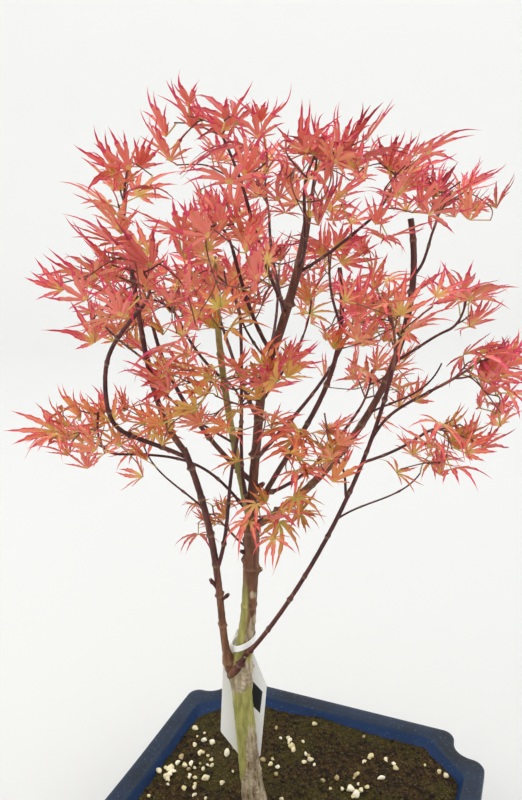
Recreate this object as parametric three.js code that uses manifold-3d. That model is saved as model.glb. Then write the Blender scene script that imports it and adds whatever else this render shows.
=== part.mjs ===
// A young grafted Japanese maple in spring leaf, growing in a glazed tray with notched corners.
// Millimetres, +Z up. The origin is the middle of the pot's flat underside, +X runs along the
// pot's short side and +Y along its long side. The tree stands in a turned group of its own,
// whose origin is just under the trunk's flat cut: there +X is the side of the tree that leans
// over the free edge, and -Y is its front.
import * as THREE from 'three';
import { mergeVertices } from 'three/addons/utils/BufferGeometryUtils.js';
import Module from 'manifold-3d';

const wasm = await Module();
wasm.setup();

const CLEAR = 0.3;
const WELD = 1e-4;

// Pot
const POT_WIDTH = 240;
const POT_LENGTH = 304;
const POT_HEIGHT = 85;
const NOTCH_ROUND = 9;
const NOTCH_HOLLOW = 16;
const ARC_STEPS = 3;
const RIM_BAND = 14;
const INNER_CHAMFER = 30;
const FLOOR_THICKNESS = 8;
const DRAIN_RADIUS = 8;
const DRAIN_OFFSET = 72;
// [height, how far the outside stands in from the rim's outline]
const POT_OUTSIDE = [[0, 17], [2.5, 14.5], [70, 8], [73, 0], [83, 0], [POT_HEIGHT, 2]];
// [height, how far the inside stands in from the rim's inner edge]
const POT_INSIDE = [[FLOOR_THICKNESS, 11], [74, 7], [POT_HEIGHT, 0], [POT_HEIGHT + 2, 0]];

// Soil
const SOIL_LEVEL = 78;
const SOIL_MOUND = 0.8;
const SOIL_MOUND_SPREAD = 70;
const SOIL_ROUGHNESS = 1.1;
const SOIL_CELLS = [8, 10];
const STONE_COUNT = 15;
const STONE_RADIUS = [3.2, 4.2];
const STONE_FLATNESS = 0.8;
const STONE_SPACING = 30;
const STONE_AREA = [94, 126];
const STONE_SEED = 5;

// Tree. Its heights are measured from TREE_LEVEL, and its flat cut lies a little above that.
const TREE_PLACE = [-25, 38];
const TREE_LEVEL = 69.4;
const CUT_HEIGHT = 8.2;
const TREE_TURN = 21.95;
const TRUNK_SIDES = 12;
const TRUNK_STEPS = 30;
const LIMB_SIDES = 6;
const LIMB_STEPS = 7;
const LIMB_PULL = 0.36;
// [height, x, y, radius] up the trunk, from below the flat cut to its tip
const TRUNK_STATIONS = [
  [-8, 1, 0, 8.4], [26, -4, 0, 7.2], [60, -7, 0, 6.9], [96, -10, -0.4, 6.6], [112, -11, -0.9, 8],
  [129, -8, 0, 5.6], [158, -5, 0, 4.9], [205, -3, 0, 5], [226, -3, 0, 3], [266, 0, 0, 2.8],
  [310, 5, 0, 2.8], [336, 14, 0, 2.6], [376, 25, 0, 2.6], [405, 30, 0, 2.1],
];
const FLARE_HEIGHT = 16;
const FLARE = 0.26;
const FLARE_LOBES = 5;

// Each limb leaves its parent at a height, and runs in one bend to its tip. Directions are
// [bearing, lean]: the bearing turns from +X towards +Y, and the lean is from upright.
const LIMBS = [
  { name: 'left_stem', on: 'trunk', at: 106, tip: [-43, -13, 268],
    leave: [194, 47], arrive: [192, 20], radii: [2.5, 1.9], pull: [0.16, 0.53] },
  { name: 'left_rise', on: 'left_stem', at: 266, tip: [-69, -30, 390],
    leave: [188, 38], arrive: [190, 8], radii: [1.9, 1.15], pull: [0.27, 0.42] },
  { name: 'loop_low', on: 'left_stem', at: 262, tip: [-82, -40, 312],
    leave: [178, 65], arrive: [180, 0], radii: [1.4, 1.25], pull: [0.6, 0.45] },
  { name: 'loop_high', on: 'loop_low', at: 310, tip: [-56, -62, 358],
    leave: [180, 0], arrive: [340, 43], radii: [1.25, 1.05], pull: [0.36, 0.42] },
  { name: 'left_inner', on: 'left_stem', at: 186, tip: [-9, -18, 284],
    leave: [328, 20], arrive: [350, 14], radii: [1.3, 0.9], pull: [0.37, 0.46] },
  { name: 'left_spur', on: 'trunk', at: 196, tip: [-13, 4, 203],
    leave: [155, 60], arrive: [155, 50], radii: [0.8, 0.65] },
  { name: 'low_left', on: 'trunk', at: 219, tip: [-86, 7, 258],
    leave: [153, 43], arrive: [188, 88], radii: [1, 0.75], pull: [0.46, 0.49] },
  { name: 'back_left', on: 'trunk', at: 242, tip: [-68, 44, 336],
    leave: [136, 69], arrive: [144, 14], radii: [1.7, 1.15], pull: [0.35, 0.35] },
  { name: 'green_stem', on: 'trunk', at: 210, tip: [-24, -6, 380],
    leave: [188, 11], arrive: [177, 1], radii: [2.4, 1.7], pull: [0.37, 0.38] },
  { name: 'green_side', on: 'green_stem', at: 308, tip: [-46, 10, 341],
    leave: [154, 57], arrive: [150, 25], radii: [0.95, 0.75], pull: [0.36, 0.28] },
  { name: 'inner_stem', on: 'trunk', at: 225, tip: [-9, -17, 348],
    leave: [233, 43], arrive: [180, 3], radii: [1.15, 0.9], pull: [0.2, 0.4] },
  { name: 'middle_stem', on: 'trunk', at: 218, tip: [49, 7, 373],
    leave: [37, 34], arrive: [171, 9], radii: [1.8, 1.3], pull: [0.38, 0.44] },
  { name: 'right_stem', on: 'trunk', at: 212, tip: [90, 10, 401],
    leave: [8, 66], arrive: [180, 12], radii: [2.5, 1.8], pull: [0.23, 0.43] },
  { name: 'low_right', on: 'trunk', at: 232, tip: [67, 34, 280],
    leave: [12, 82], arrive: [22, 38], radii: [1.2, 0.9], pull: [0.35, 0.39] },
  { name: 'front_limb', on: 'trunk', at: 120, tip: [72, -51, 323],
    leave: [283, 55], arrive: [355, 11], radii: [1.5, 1.05], pull: [0.18, 0.42] },
  { name: 'front_low', on: 'front_limb', at: 271, tip: [89, -57, 290],
    leave: [345, 68], arrive: [348, 50], radii: [0.85, 0.7] },
  { name: 'front_outer', on: 'front_limb', at: 283, tip: [96, -61, 317],
    leave: [356, 25], arrive: [345, 58], radii: [0.85, 0.7], pull: [0.37, 0.54] },
  { name: 'front_spur', on: 'front_limb', at: 249, tip: [46, -47, 270],
    leave: [231, 19], arrive: [199, 38], radii: [0.8, 0.65] },
  { name: 'upper_left', on: 'trunk', at: 323, tip: [-12, -34, 384],
    leave: [232, 42], arrive: [215, 17], radii: [1.3, 0.95] },
  { name: 'upper_right', on: 'trunk', at: 370, tip: [64, -6, 400],
    leave: [355, 61], arrive: [350, 50], radii: [1.05, 0.8] },
  { name: 'top_left', on: 'trunk', at: 348, tip: [-4, -56, 408],
    leave: [255, 62], arrive: [230, 22], radii: [1.15, 0.85] },
  { name: 'top_front', on: 'trunk', at: 374, tip: [24, -56, 412],
    leave: [280, 70], arrive: [265, 35], radii: [1.1, 0.8] },
  { name: 'far_right', on: 'right_stem', at: 316, tip: [113, -1, 337],
    leave: [345, 57], arrive: [349, 68], radii: [0.95, 0.75], pull: [0.45, 0.23] },
  { name: 'right_high', on: 'right_stem', at: 368, tip: [106, 18, 396],
    leave: [20, 50], arrive: [30, 25], radii: [0.95, 0.75] },
  { name: 'middle_side', on: 'middle_stem', at: 338, tip: [45, 20, 362],
    leave: [110, 40], arrive: [100, 25], radii: [0.95, 0.75] },
  { name: 'rear_left', on: 'trunk', at: 282, tip: [-26, 64, 338],
    leave: [115, 60], arrive: [125, 35], radii: [1.4, 0.95] },
  { name: 'rear_middle', on: 'trunk', at: 300, tip: [14, 72, 346],
    leave: [85, 62], arrive: [85, 40], radii: [1.3, 0.9] },
  { name: 'rear_right', on: 'trunk', at: 256, tip: [60, 62, 322],
    leave: [50, 60], arrive: [45, 35], radii: [1.4, 0.95] },
  { name: 'rear_top', on: 'trunk', at: 344, tip: [8, 42, 402],
    leave: [95, 55], arrive: [90, 20], radii: [1.15, 0.85] },
  { name: 'fork_spur', on: 'trunk', at: 214, tip: [5, -12, 224],
    leave: [300, 60], arrive: [300, 60], radii: [0.9, 0.7] },
];

// Each mass of leaves grows from the tip of a limb, round its own middle, out to its reach.
// `leaf` is the size of its leaves beside the others'.
const MASSES = [
  { name: 'leaves_left_top', on: 'left_rise', middle: [-67, -36, 415], reach: 48, leaf: 1 },
  { name: 'leaves_left_front', on: 'loop_high', middle: [-58, -88, 377], reach: 50, leaf: 1.05 },
  { name: 'leaves_centre_low', on: 'left_inner', middle: [-18, -40, 312], reach: 44, leaf: 0.95 },
  { name: 'leaves_left_spur', on: 'left_spur', middle: [-28, 10, 214], reach: 34, leaf: 0.62 },
  { name: 'leaves_left_low', on: 'low_left', middle: [-94, -8, 284], reach: 50, leaf: 1 },
  { name: 'leaves_back_left', on: 'back_left', middle: [-78, 58, 362], reach: 52, leaf: 1 },
  { name: 'leaves_centre_left', on: 'green_side', middle: [-60, 2, 350], reach: 46, leaf: 0.95 },
  { name: 'leaves_centre', on: 'inner_stem', middle: [-24, -26, 368], reach: 46, leaf: 0.92 },
  { name: 'leaves_middle_low', on: 'low_right', middle: [76, 44, 300], reach: 46, leaf: 0.95 },
  { name: 'leaves_right_inner', on: 'front_limb', middle: [68, -54, 352], reach: 46, leaf: 1 },
  { name: 'leaves_right_low', on: 'front_low', middle: [96, -64, 290], reach: 40, leaf: 0.95 },
  { name: 'leaves_right_outer', on: 'front_outer', middle: [114, -64, 326], reach: 44, leaf: 1 },
  { name: 'leaves_front_spur', on: 'front_spur', middle: [38, -54, 288], reach: 34, leaf: 0.8 },
  { name: 'leaves_centre_front', on: 'upper_left', middle: [-24, -68, 390], reach: 50, leaf: 1 },
  { name: 'leaves_top_right', on: 'upper_right', middle: [76, -16, 420], reach: 48, leaf: 1 },
  { name: 'leaves_top_left', on: 'top_left', middle: [-16, -70, 434], reach: 48, leaf: 1.05 },
  { name: 'leaves_top_front', on: 'top_front', middle: [32, -74, 430], reach: 46, leaf: 1.05 },
  { name: 'leaves_far_right', on: 'far_right', middle: [122, -2, 350], reach: 44, leaf: 1 },
  { name: 'leaves_right_high', on: 'right_high', middle: [112, 26, 412], reach: 48, leaf: 1 },
  { name: 'leaves_middle', on: 'middle_side', middle: [44, 26, 378], reach: 46, leaf: 0.95 },
  { name: 'leaves_rear_left', on: 'rear_left', middle: [-36, 90, 360], reach: 52, leaf: 1 },
  { name: 'leaves_rear_middle', on: 'rear_middle', middle: [16, 102, 366], reach: 50, leaf: 1 },
  { name: 'leaves_rear_right', on: 'rear_right', middle: [76, 84, 346], reach: 52, leaf: 1 },
  { name: 'leaves_rear_top', on: 'rear_top', middle: [-2, 52, 424], reach: 50, leaf: 1 },
  { name: 'leaves_fork', on: 'fork_spur', middle: [13, -32, 234], reach: 38, leaf: 0.85 },
  { name: 'leaves_top', on: 'trunk', middle: [34, -2, 430], reach: 46, leaf: 1 },
];

// Growth of a mass
const NODES = 5;
const FIRST_NODE = 0.3;
const LAST_NODE = 0.96;
const TIP_NODE = 0.98;
const TWIG_SIDES = 4;
const STEM_STEPS = 3;
const STEM_RADIUS = [0.85, 0.75];
const STEM_RISE = 0.1;
const STEM_BEND = 0.5;
const SHOOT_RADIUS = [0.6, 0.6];
const SHOOT_SPREAD = [45, 68];
const SHOOT_REACH = [0.42, 0.26];
const SHOOT_STRETCH = [0.85, 1.1];
const SHOOT_TESTS = [0.4, 0.7, 1];
const LEAF_SPREAD = [35, 60];
const STALK_LENGTH = [8, 13];
const STALK_SINK = 0.3;
const STALK_STEP = 1.3;
const STALK_RISE = [0, 0.5];
const LEAF_LENGTH = [24, 30];
const LEAF_THICKNESS = 1.1;
const LEAF_LOBES = [[-104, 0.55], [-50, 0.86], [0, 1], [50, 0.86], [104, 0.55]];
const LEAF_SINUS = 0.26;
const LEAF_BASE = [150, 0.08];
const LEAF_DROOP = 0.12;
const LEAF_TILT = [-34, 40];
const LEAF_ROLL = [-40, 40];
const LEAF_TRIES = 9;
const LEAVES_MOST = 9;
const LEAF_STRAY = 12;
const LIMB_MARGIN = 2.4;
const LEAF_MARGIN = 3;
const SEED = 731;
const SEED_STEP = 97;

// Tag
const TAG_SHEET = 0.6;
const TAG_OUTLINE = [
  [-22.7, 112], [-25.2, 57], [-5, 28], [2.4, 37.5], [6.8, 93], [-3, 120], [-4, 136], [-13, 136],
];
const TAG_BACK = 8.2;
const STRAP_MIDDLE = [-8.4, 0.6];
const STRAP_RADIUS = 7.6;
const STRAP_LEVEL = [130, 134.4];
const STRAP_SLOPE = 0.52;
const STRAP_SIDES = 16;

const UP = new THREE.Vector3(0, 0, 1);
const radians = THREE.MathUtils.degToRad;
const lerp = THREE.MathUtils.lerp;

// A repeatable run of numbers from 0 to 1.
function seeded(seed) {
  let state = seed;
  return () => {
    state = (state * 16807) % 2147483647;
    return state / 2147483647;
  };
}

// The way that a bearing and a lean, in degrees, point.
function heading([bearing, lean]) {
  const flat = Math.sin(radians(lean));
  return new THREE.Vector3(
    flat * Math.cos(radians(bearing)),
    flat * Math.sin(radians(bearing)),
    Math.cos(radians(lean)),
  );
}

// A closed geometry as a solid that can be joined and cut.
function toSolid(geometry) {
  geometry.deleteAttribute('normal');
  geometry.deleteAttribute('uv');
  const merged = mergeVertices(geometry, WELD);
  return new wasm.Manifold(new wasm.Mesh({
    numProp: 3,
    vertProperties: Float32Array.from(merged.attributes.position.array),
    triVerts: Uint32Array.from(merged.index.array),
  }));
}

// A joined or cut solid as a geometry.
function toGeometry(solid) {
  const { vertProperties, triVerts } = solid.getMesh();
  const geometry = new THREE.BufferGeometry();
  geometry.setAttribute('position', new THREE.BufferAttribute(vertProperties, 3));
  geometry.setIndex(new THREE.BufferAttribute(triVerts, 1));
  geometry.computeVertexNormals();
  return geometry;
}

// The largest body of a solid, without its loose scraps.
function wholeBody(solid) {
  const bodies = solid.decompose();
  return bodies.reduce((best, body) => (body.volume() > best.volume() ? body : best));
}

// An outline stacked up through levels of [height, inset], a solid with flat ends.
function stacked(outline, levels, halfWidth, halfLength) {
  const geometry = new THREE.ExtrudeGeometry(outline, {
    depth: levels.length - 1, steps: levels.length - 1, bevelEnabled: false,
  });
  const place = geometry.attributes.position;
  for (let i = 0; i < place.count; i += 1) {
    const [height, inset] = levels[Math.round(place.getZ(i))];
    const x = place.getX(i) * (1 - inset / halfWidth);
    const y = place.getY(i) * (1 - inset / halfLength);
    place.setXYZ(i, x, y, height);
  }
  return toSolid(geometry);
}

// The pot's outline from above: each corner is a hollow quarter between two round ones.
function notchedOutline(halfWidth, halfLength) {
  const points = [];
  const far = NOTCH_ROUND * 2 + NOTCH_HOLLOW;
  const arc = (x, y, radius, from, to, turn) => {
    for (let k = 0; k <= ARC_STEPS; k += 1) {
      const angle = radians(lerp(from, to, k / ARC_STEPS) + turn);
      points.push(new THREE.Vector2(x + radius * Math.cos(angle), y + radius * Math.sin(angle)));
    }
  };
  for (let corner = 0; corner < 4; corner += 1) {
    const turn = corner * 90;
    const acrossX = [1, -1, -1, 1][corner];
    const acrossY = [1, 1, -1, -1][corner];
    const near = [far, NOTCH_ROUND];
    const [first, last] = corner % 2 ? [near, [...near].reverse()] : [[...near].reverse(), near];
    const centre = ([x, y]) => [acrossX * (halfWidth - x), acrossY * (halfLength - y)];
    arc(...centre(first), NOTCH_ROUND, 0, 90, turn);
    arc(...centre([NOTCH_ROUND, NOTCH_ROUND]), NOTCH_HOLLOW, 270, 180, turn);
    arc(...centre(last), NOTCH_ROUND, 0, 90, turn);
  }
  return new THREE.Shape(points.filter((point, i) => {
    const next = points[(i + 1) % points.length];
    return point.distanceTo(next) > CLEAR;
  }));
}

// A rectangle with plain cut corners.
function chamferedOutline(halfWidth, halfLength, chamfer) {
  const points = [];
  for (const [sx, sy] of [[1, 1], [-1, 1], [-1, -1], [1, -1]]) {
    const side = new THREE.Vector2(sx * halfWidth, sy * (halfLength - chamfer));
    const end = new THREE.Vector2(sx * (halfWidth - chamfer), sy * halfLength);
    points.push(...(sx * sy > 0 ? [side, end] : [end, side]));
  }
  return new THREE.Shape(points);
}

function potCavity(gap) {
  const halfWidth = POT_WIDTH / 2 - RIM_BAND;
  const halfLength = POT_LENGTH / 2 - RIM_BAND;
  const outline = chamferedOutline(halfWidth, halfLength, INNER_CHAMFER);
  const levels = POT_INSIDE.map(([height, inset], i) => [height + (i ? 0 : gap), inset + gap]);
  return stacked(outline, levels, halfWidth, halfLength);
}

function pot() {
  const outline = notchedOutline(POT_WIDTH / 2, POT_LENGTH / 2);
  let body = stacked(outline, POT_OUTSIDE, POT_WIDTH / 2, POT_LENGTH / 2).subtract(potCavity(0));
  for (const side of [-1, 1]) {
    const drain = new THREE.CylinderGeometry(DRAIN_RADIUS, DRAIN_RADIUS, FLOOR_THICKNESS * 3, 16);
    drain.rotateX(Math.PI / 2).translate(0, side * DRAIN_OFFSET, 0);
    body = body.subtract(toSolid(drain));
  }
  return body;
}

// The height of the soil's surface: a low mound round the trunk, and small swells.
function soilHeight(x, y) {
  const away = Math.hypot(x - TREE_PLACE[0], y - TREE_PLACE[1]);
  const mound = SOIL_MOUND * Math.exp(-((away / SOIL_MOUND_SPREAD) ** 2));
  return SOIL_LEVEL + mound + SOIL_ROUGHNESS * Math.sin(x * 0.11 + 1) * Math.cos(y * 0.085);
}

// Where the largest stones lie: [x, y, radius, turn], clear of the trunk and of each other.
function stones() {
  const random = seeded(STONE_SEED);
  const laid = [];
  while (laid.length < STONE_COUNT) {
    const [x, y] = STONE_AREA.map((half) => lerp(-half, half, random()));
    const stone = [x, y, lerp(...STONE_RADIUS, random()), random() * Math.PI];
    const inside = Math.abs(x) + Math.abs(y) < STONE_AREA[0] + STONE_AREA[1] - INNER_CHAMFER;
    const near = [TREE_PLACE, ...laid].some((other) => (
      Math.hypot(other[0] - x, other[1] - y) < STONE_SPACING));
    if (inside && !near) laid.push(stone);
  }
  return laid;
}

function stoneSolid([x, y, radius, turn]) {
  const stone = new THREE.OctahedronGeometry(radius);
  stone.rotateZ(turn).scale(1, 1, STONE_FLATNESS).translate(x, y, soilHeight(x, y));
  return toSolid(stone);
}

function soil(trunkSeat) {
  const depth = SOIL_LEVEL;
  const block = new THREE.BoxGeometry(POT_WIDTH, POT_LENGTH, depth, ...SOIL_CELLS, 1);
  const place = block.attributes.position;
  for (let i = 0; i < place.count; i += 1) {
    const top = place.getZ(i) > 0;
    place.setZ(i, top ? soilHeight(place.getX(i), place.getY(i)) : 0);
  }
  const bed = toSolid(block).intersect(potCavity(CLEAR)).subtract(trunkSeat);
  return stones().reduce((whole, stone) => whole.add(stoneSolid(stone)), bed);
}

// A round bar bent along a curve, with its own radius at each share of the way and each angle.
function bentBar(curve, radiusAt, sides, steps) {
  const section = new THREE.Shape();
  for (let k = 0; k < sides; k += 1) {
    const angle = (k / sides) * 2 * Math.PI;
    section[k ? 'lineTo' : 'moveTo'](Math.cos(angle), Math.sin(angle));
  }
  const bar = new THREE.ExtrudeGeometry(section, { depth: steps, steps, bevelEnabled: false });
  const frames = curve.computeFrenetFrames(steps);
  const centres = Array.from({ length: steps + 1 }, (_, k) => curve.getPointAt(k / steps));
  const place = bar.attributes.position;
  for (let i = 0; i < place.count; i += 1) {
    const k = Math.round(place.getZ(i));
    const radius = radiusAt(k / steps, Math.atan2(place.getY(i), place.getX(i)));
    const point = centres[k].clone()
      .addScaledVector(frames.normals[k], place.getX(i) * radius)
      .addScaledVector(frames.binormals[k], place.getY(i) * radius);
    place.setXYZ(i, ...point.toArray());
  }
  return toSolid(bar);
}

const trunkCurve = new THREE.CatmullRomCurve3(
  TRUNK_STATIONS.map(([height, x, y]) => new THREE.Vector3(x, y, height)),
  false,
  'centripetal',
);

function trunkRadius(height) {
  const above = TRUNK_STATIONS.findIndex(([level]) => level > height);
  if (above < 1) return TRUNK_STATIONS.at(above ? -1 : 0)[3];
  const [low, high] = [TRUNK_STATIONS[above - 1], TRUNK_STATIONS[above]];
  const share = THREE.MathUtils.smoothstep(height, low[0], high[0]);
  return lerp(low[3], high[3], share);
}

// The trunk fattened by a gap: swelling to the root flare, and cut flat at a level.
function trunkBar(gap, cutLevel) {
  const radiusAt = (share, angle) => {
    const height = trunkCurve.getPointAt(share).z;
    const lobes = 0.75 + 0.25 * Math.cos(FLARE_LOBES * angle);
    const rise = Math.max(height - CUT_HEIGHT, 0);
    const flare = FLARE * lobes * Math.exp(-((rise / FLARE_HEIGHT) ** 2));
    return trunkRadius(height) * (1 + flare) + gap;
  };
  const bar = bentBar(trunkCurve, radiusAt, TRUNK_SIDES, TRUNK_STEPS);
  const below = new THREE.BoxGeometry(100, 100, 100).translate(0, 0, cutLevel - 50);
  return bar.subtract(toSolid(below));
}

// The share of the way along a rising curve at which it reaches a height.
function shareAt(curve, height) {
  let [low, high] = [0, 1];
  for (let i = 0; i < 24; i += 1) {
    const middle = (low + high) / 2;
    if (curve.getPointAt(middle).z < height) low = middle;
    else high = middle;
  }
  return low;
}

// One limb's curve, from inside its parent to its tip.
function limbCurve(limb, parentCurve) {
  const foot = parentCurve.getPointAt(shareAt(parentCurve, limb.at));
  const tip = new THREE.Vector3(...limb.tip);
  const [out, back] = (limb.pull ?? [LIMB_PULL, LIMB_PULL]).map((pull) => pull * foot.distanceTo(tip));
  return new THREE.CubicBezierCurve3(
    foot,
    foot.clone().addScaledVector(heading(limb.leave), out),
    tip.clone().addScaledVector(heading(limb.arrive), -back),
    tip,
  );
}

function limbBar(limb, curve, gap) {
  const radiusAt = (share) => lerp(limb.radii[0], limb.radii[1], share) + gap;
  return bentBar(curve, radiusAt, LIMB_SIDES, LIMB_STEPS);
}

// The nearest that a point comes to any limb's bark, below nothing where it is inside.
function barkDistance(point, bark) {
  let nearest = Infinity;
  for (const { line, radius } of bark) {
    const reach = line.closestPointToPoint(point, true, new THREE.Vector3()).distanceTo(point);
    nearest = Math.min(nearest, reach - radius);
  }
  return nearest;
}

// Short straight lengths of a limb with their radius, for measuring how near a leaf comes.
function barkLengths(curve, radiusAt, steps) {
  return Array.from({ length: steps }, (_, k) => ({
    line: new THREE.Line3(curve.getPointAt(k / steps), curve.getPointAt((k + 1) / steps)),
    radius: radiusAt((k + 0.5) / steps),
  }));
}

// True where a point lies in the mass's own space: within reach, and nearer than its neighbours'.
function inOwnSpace(point, mass) {
  const middle = new THREE.Vector3(...mass.middle);
  if (point.distanceTo(middle) > mass.reach) return false;
  const power = point.distanceToSquared(middle) - mass.reach ** 2;
  return MASSES.every((other) => {
    if (other === mass) return true;
    const otherMiddle = new THREE.Vector3(...other.middle);
    const otherPower = point.distanceToSquared(otherMiddle) - other.reach ** 2;
    return (otherPower - power) / (2 * middle.distanceTo(otherMiddle)) > CLEAR;
  });
}

// A leaf's hub, top and outline. Its middle lobe points along `out`, `face` is its top, and its
// stalk runs back to `root`.
function leafShape(root, hub, out, face, length) {
  const side = new THREE.Vector3().crossVectors(face, out).normalize();
  const top = new THREE.Vector3().crossVectors(out, side).normalize();
  const at = (degrees, reach) => hub.clone()
    .addScaledVector(out, Math.cos(radians(degrees)) * reach * length)
    .addScaledVector(side, Math.sin(radians(degrees)) * reach * length)
    .addScaledVector(top, -LEAF_DROOP * reach * reach * length);
  const [baseAngle, baseReach] = LEAF_BASE;
  const blade = [at(-baseAngle, baseReach)];
  LEAF_LOBES.forEach(([angle, reach], i) => {
    if (i) blade.push(at((LEAF_LOBES[i - 1][0] + angle) / 2, LEAF_SINUS));
    blade.push(at(angle, reach));
  });
  blade.push(at(baseAngle, baseReach));
  return { hub, top, blade, root };
}

// Points spread over a leaf's blade, for the tests of space and clearance.
function leafPoints({ hub, blade }) {
  const shares = [1, 0.8, 0.6, 0.4, 0.2];
  return blade.flatMap((point) => shares.map((share) => hub.clone().lerp(point, share)));
}

// A leaf solid: its outline and stalk, drawn up to a low ridge on each face.
function leafSolid({ hub, top, blade, root }) {
  const rim = [root, ...blade, root];
  const faces = (middle, edge) => edge.slice(1).flatMap((point, i) => [middle, edge[i], point]);
  const corners = [
    ...faces(hub.clone().addScaledVector(top, LEAF_THICKNESS / 2), rim),
    ...faces(hub.clone().addScaledVector(top, -LEAF_THICKNESS / 2), rim.toReversed()),
  ];
  return toSolid(new THREE.BufferGeometry().setFromPoints(corners));
}

// A direction turned away from `along` by a spread, on the side that `turn` names.
function turnedFrom(along, turn, spread) {
  const level = Math.abs(along.z) < 0.9 ? UP : new THREE.Vector3(1, 0, 0);
  const across = new THREE.Vector3().crossVectors(along, level).normalize();
  across.applyAxisAngle(along, radians(turn));
  return along.clone().multiplyScalar(Math.cos(radians(spread)))
    .addScaledVector(across, Math.sin(radians(spread)));
}

// One mass: a stem with pairs of shoots, each ending in a pair of leaves and a leaf between.
function growMass(mass, tip, along, bark) {
  const random = seeded(SEED + MASSES.indexOf(mass) * SEED_STEP);
  const between = ([low, high]) => lerp(low, high, random());
  const middle = new THREE.Vector3(...mass.middle);
  const start = tip.clone().addScaledVector(along, CLEAR);
  const run = start.distanceTo(middle);
  const end = middle.clone().addScaledVector(UP, mass.reach * STEM_RISE);
  const bend = start.clone().addScaledVector(along, run * STEM_BEND);
  const stem = new THREE.QuadraticBezierCurve3(start, bend, end);
  const taper = ([low, high]) => (share) => lerp(low, high, share);
  const solids = [bentBar(stem, taper(STEM_RADIUS), TWIG_SIDES, STEM_STEPS)];
  const taken = [];
  let leaves = 0;

  const clear = (points, margin) => points.every(
    (point) => inOwnSpace(point, mass) && barkDistance(point, bark) > margin,
  );
  const tryLeaf = (node, way) => {
    const stalkWay = way.clone().addScaledVector(UP, between(STALK_RISE)).normalize();
    const hub = node.clone().addScaledVector(stalkWay, between(STALK_LENGTH) * mass.leaf);
    const root = node.clone().addScaledVector(stalkWay, -STALK_SINK);
    const level = new THREE.Vector3(stalkWay.x, stalkWay.y, 0).normalize();
    const tilt = radians(between(LEAF_TILT));
    const out = level.clone().multiplyScalar(Math.cos(tilt)).addScaledVector(UP, Math.sin(tilt));
    const face = UP.clone().applyAxisAngle(level, radians(between(LEAF_ROLL)));
    const shape = leafShape(root, hub, out, face, between(LEAF_LENGTH) * mass.leaf);
    const points = leafPoints(shape);
    const crowded = points.some((point) => taken.some((other) => other.distanceTo(point) < LEAF_MARGIN));
    if (crowded || !clear(points, LIMB_MARGIN)) return false;
    taken.push(...points);
    leaves += 1;
    solids.push(leafSolid(shape));
    return true;
  };
  const addLeaf = (node, way) => {
    for (let tries = 0; tries < LEAF_TRIES && leaves < LEAVES_MOST; tries += 1) {
      if (tryLeaf(node, turnedFrom(way, between([0, 360]), tries * LEAF_STRAY))) return true;
    }
    return false;
  };
  const addPair = (node, way, turn) => {
    const grown = [0, 1].map((k) => {
      const root = node.clone().addScaledVector(way, -k * STALK_STEP);
      return addLeaf(root, turnedFrom(way, turn + k * 180, between(LEAF_SPREAD)));
    });
    return grown.includes(true);
  };
  const addShoot = (node, way, length, turn) => {
    const shootEnd = node.clone().addScaledVector(way, length);
    const path = new THREE.LineCurve3(node, shootEnd);
    if (!clear(SHOOT_TESTS.map((share) => path.getPoint(share)), LIMB_MARGIN)) return;
    const lastNode = shootEnd.clone().addScaledVector(way, -STALK_STEP / 2);
    if (addPair(lastNode, way, turn)) solids.push(bentBar(path, taper(SHOOT_RADIUS), TWIG_SIDES, 1));
  };

  const firstTurn = between([0, 180]);
  for (let k = 0; k < NODES; k += 1) {
    const share = lerp(FIRST_NODE, LAST_NODE, k / (NODES - 1));
    const node = stem.getPointAt(share);
    const way = stem.getTangentAt(share);
    const turn = firstTurn + k * 90;
    if (k % 2) {
      addPair(node, way, turn);
      continue;
    }
    for (const side of [0, 180]) {
      const length = mass.reach * lerp(...SHOOT_REACH, share) * between(SHOOT_STRETCH);
      addShoot(node, turnedFrom(way, turn + side, between(SHOOT_SPREAD)), length, turn + 90);
    }
  }
  addLeaf(stem.getPointAt(TIP_NODE), stem.getTangentAt(1));
  return wholeBody(solids.reduce((whole, piece) => whole.add(piece)));
}

// The white tag: a pointed sheet behind the trunk, hung from a loop round the leader.
function tag() {
  const sheet = new THREE.ExtrudeGeometry(
    new THREE.Shape(TAG_OUTLINE.map(([x, z]) => new THREE.Vector2(x, z))),
    { depth: TAG_SHEET, bevelEnabled: false },
  );
  sheet.rotateX(Math.PI / 2).translate(0, TAG_BACK + TAG_SHEET, 0);
  const [low, high] = STRAP_LEVEL;
  const band = [[0, low], [TAG_SHEET, low], [TAG_SHEET, high], [0, high], [0, low]];
  const strap = new THREE.LatheGeometry(
    band.map(([out, height]) => new THREE.Vector2(STRAP_RADIUS + out, height)),
    STRAP_SIDES,
  );
  const slope = new THREE.Matrix4().set(1, 0, 0, 0, 0, 1, 0, 0, STRAP_SLOPE, 0, 1, 0, 0, 0, 0, 1);
  strap.rotateX(Math.PI / 2).applyMatrix4(slope).translate(...STRAP_MIDDLE, 0);
  return toSolid(sheet).add(toSolid(strap));
}

const finishes = {
  glaze: { color: 0x24466e, roughness: 0.32, metalness: 0 },
  soil: { color: 0x3a2c1d, roughness: 0.95, metalness: 0 },
  oldBark: { color: 0x7f7a4a, roughness: 0.8, metalness: 0 },
  youngBark: { color: 0x5c3228, roughness: 0.6, metalness: 0 },
  greenBark: { color: 0x76752f, roughness: 0.65, metalness: 0 },
  leaf: { color: 0xe0665c, roughness: 0.55, metalness: 0 },
  label: { color: 0xf2f2ef, roughness: 0.45, metalness: 0 },
};

function named(name, solid, finish) {
  const material = new THREE.MeshStandardMaterial({ ...finishes[finish], flatShading: true });
  const mesh = new THREE.Mesh(toGeometry(solid), material);
  mesh.name = name;
  return mesh;
}

const group = new THREE.Group();
group.add(named('pot', pot(), 'glaze'));

const tree = new THREE.Group();
tree.position.set(...TREE_PLACE, TREE_LEVEL);
tree.rotation.z = radians(TREE_TURN);
group.add(tree);

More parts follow.
